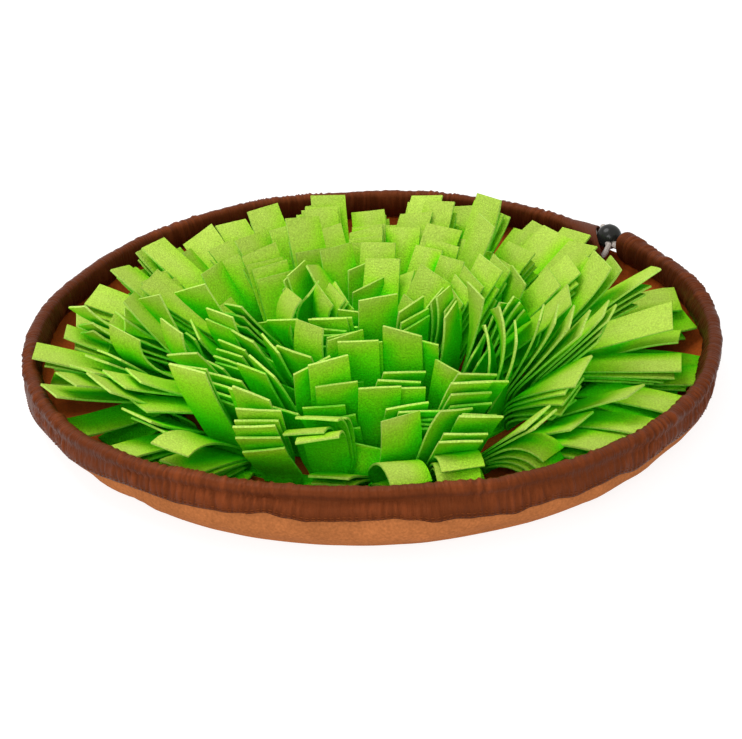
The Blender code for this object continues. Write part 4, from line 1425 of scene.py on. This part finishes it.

# %% [markdown]
# ## One strip, bent many times
# The template is a flat grid, one unit wide and long, with Solidify for its thickness. Its rim faces are
# the cut edges, which take a painted highlight, so they are marked before the copies are made.

# %% The template
deselect_all()
bpy.ops.mesh.primitive_grid_add(
    x_subdivisions=2, y_subdivisions=STRIP_ROWS, size=1.0, location=(0.0, 0.5, 0.0), calc_uvs=True,
)
template = named("felt_strip")
place_in_mesh(template)
template.data.materials.append(None)
template.data.materials.append(None)
apply_modifier(template, "SOLIDIFY", thickness=1.0, offset=0.0, material_offset_rim=1)
template_shape = points_of(template)
rim_loops = np.zeros(len(template.data.loops))
loop_verts = np.zeros(len(template.data.loops), dtype=int)
template.data.loops.foreach_get("vertex_index", loop_verts)
for face in template.data.polygons:
    if face.material_index == 1:
        for loop in face.loop_indices:
            rim_loops[loop] = 1.0
    face.material_index = 0
template.data.materials.clear()
print("strip template has", len(template.data.polygons), "faces")

# %% Bend the copies
WAVE_DEPTH = 0.0012
WAVE_LENGTHS = (4.0, 8.0)  # radians of the wave on a strip
CUP_SHARE = 0.6  # of the wave's depth, across the strip
TIP_SKEW = 0.05
TIP_FROM = 0.99  # share of the length that the slanting cut of the tip takes in
WIDTH_PLAY = 0.03


def bend_copy(ring, row, index):
    """A copy of the template along a strip's path, with its own small waves."""
    own = random.Random(1000 + index)
    side, share, layer = template_shape.T
    places, across, face = strip_frames(ring, row, share)
    width = STRIP_WIDTH * (1.0 + own.uniform(-WIDTH_PLAY, WIDTH_PLAY))
    width = width * narrowed(share)
    wave = WAVE_DEPTH * own.uniform(-1.0, 1.0) * np.sin(
        share * own.uniform(*WAVE_LENGTHS) + own.uniform(0.0, math.tau)
    ) * share
    cup = WAVE_DEPTH * own.uniform(-CUP_SHARE, CUP_SHARE) * (4.0 * side ** 2 - 0.5) * share
    depth = layer * FELT_THICKNESS + 0.5 * (wave + cup)
    skew = own.uniform(-TIP_SKEW, TIP_SKEW) * width * side * 2.0 * (share > TIP_FROM)
    along = np.cross(face, across)
    points = (places + across * (side * width)[:, None]
              - face * depth[:, None] - along * skew[:, None])
    copy = template.copy()
    copy.data = template.data.copy()
    scene.collection.objects.link(copy)
    move_points(copy, points)
    return copy


copies = {ring: [] for ring in RING_RADII}
for index, (ring, row) in enumerate(strips):
    copies[ring].append(bend_copy(ring, row, index))
bpy.data.objects.remove(template)
print("copies in each round:", {ring: len(parts) for ring, parts in copies.items()})

# %% [markdown]
# In the photograph the felt is yellow green where the light falls on it and turns to a deep pure green
# where less light comes in, because the light there has met green felt several times. So each point's
# light is measured once: rays over the half sphere above the face tell how much of the white room it
# sees, and rays to the two lamps whether they reach it. A colour attribute keeps the result, with the
# strip's own tone and the mark of the cut edges.

# %% How much light each point gets
LOOK_RAYS = 20
LOOK_REACH = 0.12
GOLDEN_ANGLE = 2.399963
LAMP_REACH = 0.30
LAMP_SPOTS = 3
LAMP_SPREAD = 0.3  # share of a lamp's width at which its spots lie
LIFT_OFF = 0.0006
FULL_LIGHT = 1.2  # the light that counts as 1


def look_directions():
    """Directions spread over the half sphere above a face, thicker toward its normal."""
    directions = []
    for ray in range(LOOK_RAYS):
        turn = ray * GOLDEN_ANGLE
        rise = math.sqrt(1.0 - (ray + 0.5) / LOOK_RAYS)
        flat = math.sqrt(1.0 - rise * rise)
        directions.append((flat * math.cos(turn), flat * math.sin(turn), rise))
    return directions


def lamp_spots():
    """For each lamp, three spots on its disk and the light that it gives a face turned to it."""
    lamps = []
    for _, place, size, power in LIGHTS:
        middle = Vector(place)
        side = middle.orthogonal().normalized()
        other = middle.cross(side).normalized()
        spots = []
        for third in range(LAMP_SPOTS):
            turn = math.tau * third / LAMP_SPOTS
            spot = (side * math.cos(turn) + other * math.sin(turn)) * size * LAMP_SPREAD
            spots.append(middle + spot)
        lamps.append((spots, power / (math.pi * middle.length) ** 2))
    return lamps


def shell_of_everything(parts):
    """One search tree of all the strips' faces and the panel's."""
    points = []
    faces = []
    for part in parts:
        base = len(points)
        points += points_of(part).tolist()
        faces += [tuple(base + vert for vert in face.vertices) for face in part.data.polygons]
    return BVHTree.FromPolygons(points, faces)


def light_at(place, normal):
    """The light that a point gets from the room and the lamps."""
    side = normal.orthogonal().normalized()
    other = normal.cross(side)
    start = place + normal * LIFT_OFF
    free = 0
    for x, y, z in looks:
        way = side * x + other * y + normal * z
        if shell.ray_cast(start, way, LOOK_REACH)[0] is None:
            free += 1
    total = WORLD_STRENGTH * free / LOOK_RAYS
    for spots, strength in lamps:
        for spot in spots:
            way = (spot - start).normalized()
            facing = way.dot(normal)
            if facing > 0.0 and shell.ray_cast(start, way, LAMP_REACH)[0] is None:
                total += strength * facing / len(spots)
    return total


all_copies = [copy for parts in copies.values() for copy in parts]
shell = shell_of_everything(all_copies + [panel])
looks = look_directions()
lamps = lamp_spots()
spot_of = {}
for vert, (x, y, z) in enumerate(template_shape):
    spot_of[round(x * 2), round(y * STRIP_ROWS), z > 0] = vert
before = np.arange(len(template_shape))
after = np.arange(len(template_shape))
for (column, row, upper), vert in spot_of.items():
    before[vert] = spot_of.get((column, row - 1, upper), vert)
    after[vert] = spot_of.get((column, row + 1, upper), vert)
lights_met = []
for index, copy in enumerate(all_copies):
    levels = np.array([light_at(vert.co, vert.normal) for vert in copy.data.vertices]) / FULL_LIGHT
    levels = 0.5 * levels + 0.25 * (levels[before] + levels[after])
    lights_met.append(levels.mean())
    marks = copy.data.color_attributes.new("strip_marks", "FLOAT_COLOR", "CORNER")
    colours = np.ones((len(loop_verts), 4))
    colours[:, 0] = np.clip(levels, 0.0, 1.0)[loop_verts]
    colours[:, 1] = random.Random(2000 + index).random()
    # blue marks the cut edges, which take a painted highlight in the felt material
    colours[:, 2] = rim_loops
    marks.data.foreach_set("color", colours.ravel())
print("light on the strips", round(float(min(lights_met)), 2), "to", round(float(max(lights_met)), 2))

# %% [markdown]
# ## The tapes
# The strips' roots are sewn into a narrow flat band for each round, which lies on the panel. It hardly
# shows between the strips. Its section is a closed loop, spun right around.

# %% Tapes, and one object for each round
TAPE_LOW = PANEL_THICKNESS + GAP
TAPE_HIGH = TAPE_LOW + 0.0016
TAPE_REACH = (-0.0012, 0.0105)  # inward and outward of a ring's radius
felts = []
for ring, radius in RING_RADII.items():
    inner, outer = radius + TAPE_REACH[0], radius + TAPE_REACH[1]
    section = ((inner, TAPE_LOW), (outer, TAPE_LOW), (outer, TAPE_HIGH), (inner, TAPE_HIGH),
               (inner, TAPE_LOW))
    tape = drawn_line(f"felt_tape_{ring}", section)
    spin(tape, -360.0, 96)
    face_outward(tape)
    marks = tape.data.color_attributes.new("strip_marks", "FLOAT_COLOR", "CORNER")
    # painted shade: the tape's stored light is a fixed 0.15, the deep green of the shade between the
    # strips
    marks.data.foreach_set("color", [0.15, 0.5, 0.0, 1.0] * len(tape.data.loops))
    move_points(tape, points_of(tape) + np.array(FELT_MIDDLE))
    felt = joined(copies[ring] + [tape], f"felt_round_{ring}")
    work_on(felt)
    bpy.ops.object.shade_smooth_by_angle(angle=math.radians(50.0))
    report(felt)
    felts.append(felt)

# %% [markdown]
# ## Felt's colour
# Felt is dyed through and has no shine. A ramp turns the light that was measured above into colour, from
# deep pure green between the strips to yellow green on the open faces. The cut edges take a painted
# highlight as strong as the measured light there, and each strip has its own tone. The ramp follows the
# photograph's greens under these two lamps, and the stored light stays as it is when the lamps move.

# %% Felt material
FELT_RAMP = (
    # light, colour
    (0.04, (0.030, 0.66, 0.0012, 1.0)),
    (0.16, (0.045, 0.70, 0.0015, 1.0)),
    (0.28, (0.12, 0.73, 0.0035, 1.0)),
    (0.40, (0.22, 0.71, 0.0075, 1.0)),
    (0.53, (0.30, 0.67, 0.018, 1.0)),
    (0.67, (0.355, 0.65, 0.034, 1.0)),
    (0.83, (0.41, 0.63, 0.060, 1.0)),
    (1.00, (0.44, 0.62, 0.082, 1.0)),
)
# painted highlight on the cut edges, mixed in as far as the measured light there reaches
EDGE_HIGHLIGHT_GREEN = (0.50, 0.72, 0.14, 1.0)
felt_green = new_material("felt_green", Roughness=0.97, Specular_IOR_Level=0.02)
tree = felt_green.node_tree
felt_marks = read_marks(tree, "strip_marks")
ramp = add_node(tree, "ShaderNodeValToRGB", {"Fac": felt_marks["Red"]})
while len(ramp.color_ramp.elements) < len(FELT_RAMP):
    ramp.color_ramp.elements.new(0.5)
for element, (position, colour) in zip(ramp.color_ramp.elements, FELT_RAMP):
    element.position = position
    element.color = colour
edge_highlight_share = maths(tree, "MULTIPLY", felt_marks["Blue"], felt_marks["Red"])
with_edge_highlight = mixed_colour(tree, edge_highlight_share, ramp.outputs["Color"], EDGE_HIGHLIGHT_GREEN)
toned = scaled_colour(tree, with_edge_highlight, ranged(tree, felt_marks["Green"], 0.86, 1.06))
for felt in felts:
    felt.data.materials.clear()
finish_material(
    felt_green,
    place_group(
        felt_green, MOTTLE, Colour=toned, Patch_Scale=150.0, Patches=0.12, Grain_Scale=820.0, Grain=0.80,
    ),
    place_group(felt_green, FIBRE, Scale=800.0, Strength=0.9, Depth=0.0014),
    *felts,
)

# %% [markdown]
# ## Attach the pieces
# Every piece rides on the one body. Where it stands for a CAD solid, that solid is hidden. Each piece
# took its finish above.

# %% Pieces and their places
PIECES = (
    # piece, nodes that it stands for, material slot
    (panel, ("mat_panel",), "panel"), (casing, ("rim_casing",), "casing"),
    (stitching, (), "casing"), (cord, ("drawcord",), "cord"), (ball, ("cord_toggle",), "toggle"),
) + tuple((felt, (f"felt_ring_{ring}",), "felt") for ring, felt in zip(RING_RADII, felts))
for piece, nodes_replaced, slot in PIECES:
    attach(piece, "root")
    if nodes_replaced:
        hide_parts(*nodes_replaced)
